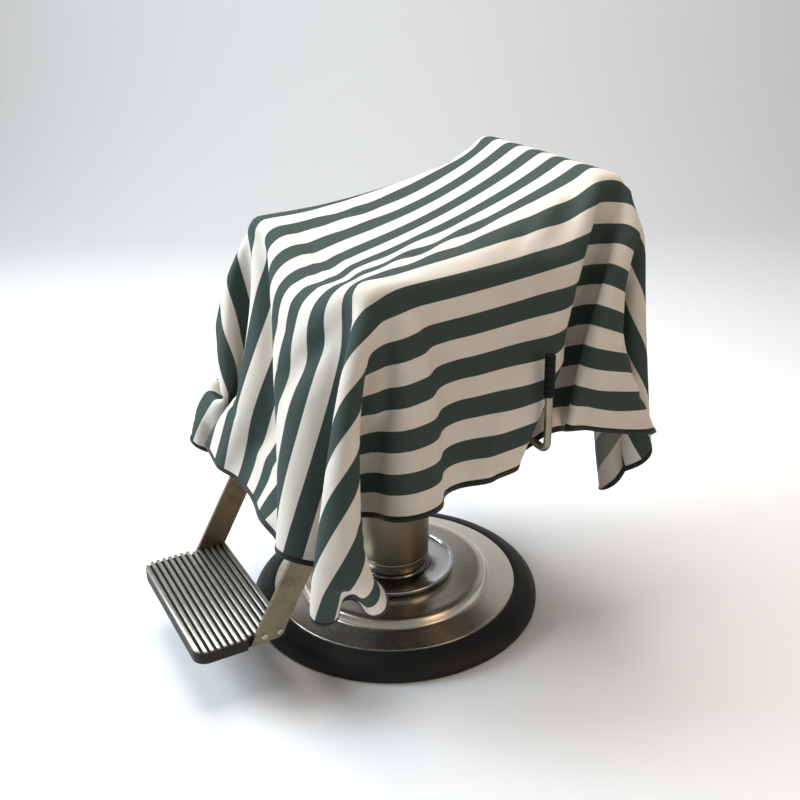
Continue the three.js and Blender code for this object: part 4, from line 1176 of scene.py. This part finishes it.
def make_footrest():
    make_footrest_plate()
    for side, sign in (("left", 1), ("right", -1)):
        for end in ("front", "rear"):
            node = f"footrest_screw_{side}_{end}"
            low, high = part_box(node)
            face = low.x if sign > 0 else high.x
            middle = (low + high) / 2
            centre = Vector((face, middle.y, middle.z))
            radius = (high.z - low.z) / 2
            head = socket_screw(f"{node}_head", centre, Vector((sign, 0, 0)), radius, high.x - low.x, "seat")
            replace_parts(head, node)


# ---------------------------------------------------------------- hand lever
def make_lever():
    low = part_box("lever_bar")[0]
    grip_low, grip_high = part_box("lever_grip")
    radius = 0.0078
    reach = (grip_low.x + grip_high.x) / 2
    y, z, bend = LEVER[1], LEVER[2], 0.020
    line = [(x, z) for x in (low.x, 0.25, 0.29)]
    line += arc((reach - bend, z + bend), bend, 270, 360, 12)
    line += [(reach, height) for height in (z + 0.045, z + 0.08, grip_low.z - 0.0004)]
    route = np.array([(a, y, b) for a, b in line])
    across = np.tile([0.0, 1.0, 0.0], (len(route), 1))
    up = np.cross(directions(route), across)
    section = arc((0, 0), radius, 0, 360, 28)[:-1]
    bar = sweep("lever_steel_bar", route, across, up, section, FINISHES["lever_steel"])
    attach(sharpen(bar), "lever")
    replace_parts(bar, "lever_bar")

    r, foot, top = (grip_high.x - grip_low.x) / 2, grip_low.z, grip_high.z
    outline = [(0.0004, foot), (r - 0.002, foot), (r - 0.0006, foot + 0.0008), (r, foot + 0.003)]
    grooves, first, pitch, depth, half = 5, 0.012, 0.0145, 0.0005, 0.0008
    for i in range(grooves):
        at = foot + first + i * pitch
        outline += [(r, at), (r - depth, at + half), (r, at + 2 * half)]
    rounding = 0.004
    outline += arc((r - rounding, top - rounding), rounding, 0, 90, 6)
    outline += [(0.0045, top), (0.003, top - 0.0016), (0.0004, top - 0.002)]
    grip = lathe("lever_rubber_grip", outline, FINISHES["grip_rubber"], None, 64, on_axis=True)
    grip.data.transform(Matrix.Translation((reach, y, 0)))
    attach(grip, "lever")
    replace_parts(grip, "lever_grip")


# ---------------------------------------------------------------- frame pieces that keep their CAD shape
def finish_frame():
    """Gives each CAD piece that stays its real finish and slightly broken edges."""
    for node in frame["nodes"].values():
        if node.hide_render:
            continue
        slot = node.data.materials[0].name
        node.data.materials.clear()
        node.data.materials.append(FINISHES[slot])
        bevel = node.modifiers.new("broken_edges", "BEVEL")
        bevel.width = 0.0008
        bevel.segments = 2
        bevel.limit_method = "ANGLE"
        bevel.angle_limit = math.radians(50)


# ---------------------------------------------------------------- studio
def make_studio():
    """A pale floor and backdrop, a cool key light and a weak warm fill."""
    size, back, bend, wall_top = 6.0, 3.0, 1.2, 4.5
    line = [(-size, 0.0), (back, 0.0)]
    line += [(back + bend * math.sin(a), bend * (1 - math.cos(a))) for a in np.linspace(0.1, math.pi / 2, 12)]
    line.append((back + bend, wall_top))
    points = [(x, y, z) for y, z in line for x in (-size, size)]
    faces = [(2 * i, 2 * i + 1, 2 * i + 3, 2 * i + 2) for i in range(len(line) - 1)]
    finish = Finish("studio_paper", base_color=tint(248, 248, 248), roughness=0.9, specular_ior_level=0.1)
    floor = piece_from("studio_floor", points, faces, finish.material)
    floor.rotation_euler.z = CAMERA_AZIMUTH

    bpy.context.scene.view_settings.view_transform = "Standard"
    world = bpy.data.worlds.new("studio")
    bpy.context.scene.world = world
    world.use_nodes = True
    background = world.node_tree.nodes["Background"]
    background.inputs["Color"].default_value = tint(244, 241, 236)
    background.inputs["Strength"].default_value = 0.26

    def area_light(name, place, aim, width, height, power, colour):
        data = bpy.data.lights.new(name, "AREA")
        data.shape = "RECTANGLE"
        data.size, data.size_y, data.energy, data.color = width, height, power, colour
        light = bpy.data.objects.new(name, data)
        light.location = place
        light.rotation_euler = (Vector(aim) - Vector(place)).to_track_quat("-Z", "Y").to_euler()
        bpy.context.scene.collection.objects.link(light)

    area_light("window", (-1.6, -2.4, 2.1), (0, 0, 0.6), 1.8, 1.6, 118, (0.76, 0.88, 1.0))
    area_light("ceiling", (-0.5, 0.2, 3.0), (0, 0.1, 0.6), 2.4, 2.4, 90, (1.0, 0.975, 0.94))
    area_light("warm_fill", (2.8, 0.9, 1.2), (0, 0, 0.5), 1.2, 1.4, 10, (1.0, 0.66, 0.38))


def make_camera():
    """A camera at the customer's left front, looking a little down."""
    pitch, roll = math.radians(24.8), math.radians(-1.5)
    distance, aside, aim_height = 2.3176, 0.0241, 0.4984
    sine, cosine = math.sin(CAMERA_AZIMUTH), math.cos(CAMERA_AZIMUTH)
    back = Vector((sine * math.cos(pitch), -cosine * math.cos(pitch), math.sin(pitch)))
    right = Vector((cosine, sine, 0))
    aim = right * aside + Vector((0, 0, aim_height))
    data = bpy.data.cameras.new("camera")
    data.sensor_width = 36
    data.lens = 48.2
    camera = bpy.data.objects.new("camera", data)
    turn = back.to_track_quat("Z", "Y").to_matrix().to_4x4() @ Matrix.Rotation(roll, 4, "Z")
    camera.matrix_world = Matrix.Translation(aim + back * distance) @ turn
    bpy.context.scene.collection.objects.link(camera)
    bpy.context.scene.camera = camera


make_camera()
make_studio()
make_cape()
make_upholstery()
make_base()
make_footrest()
make_lever()
finish_frame()
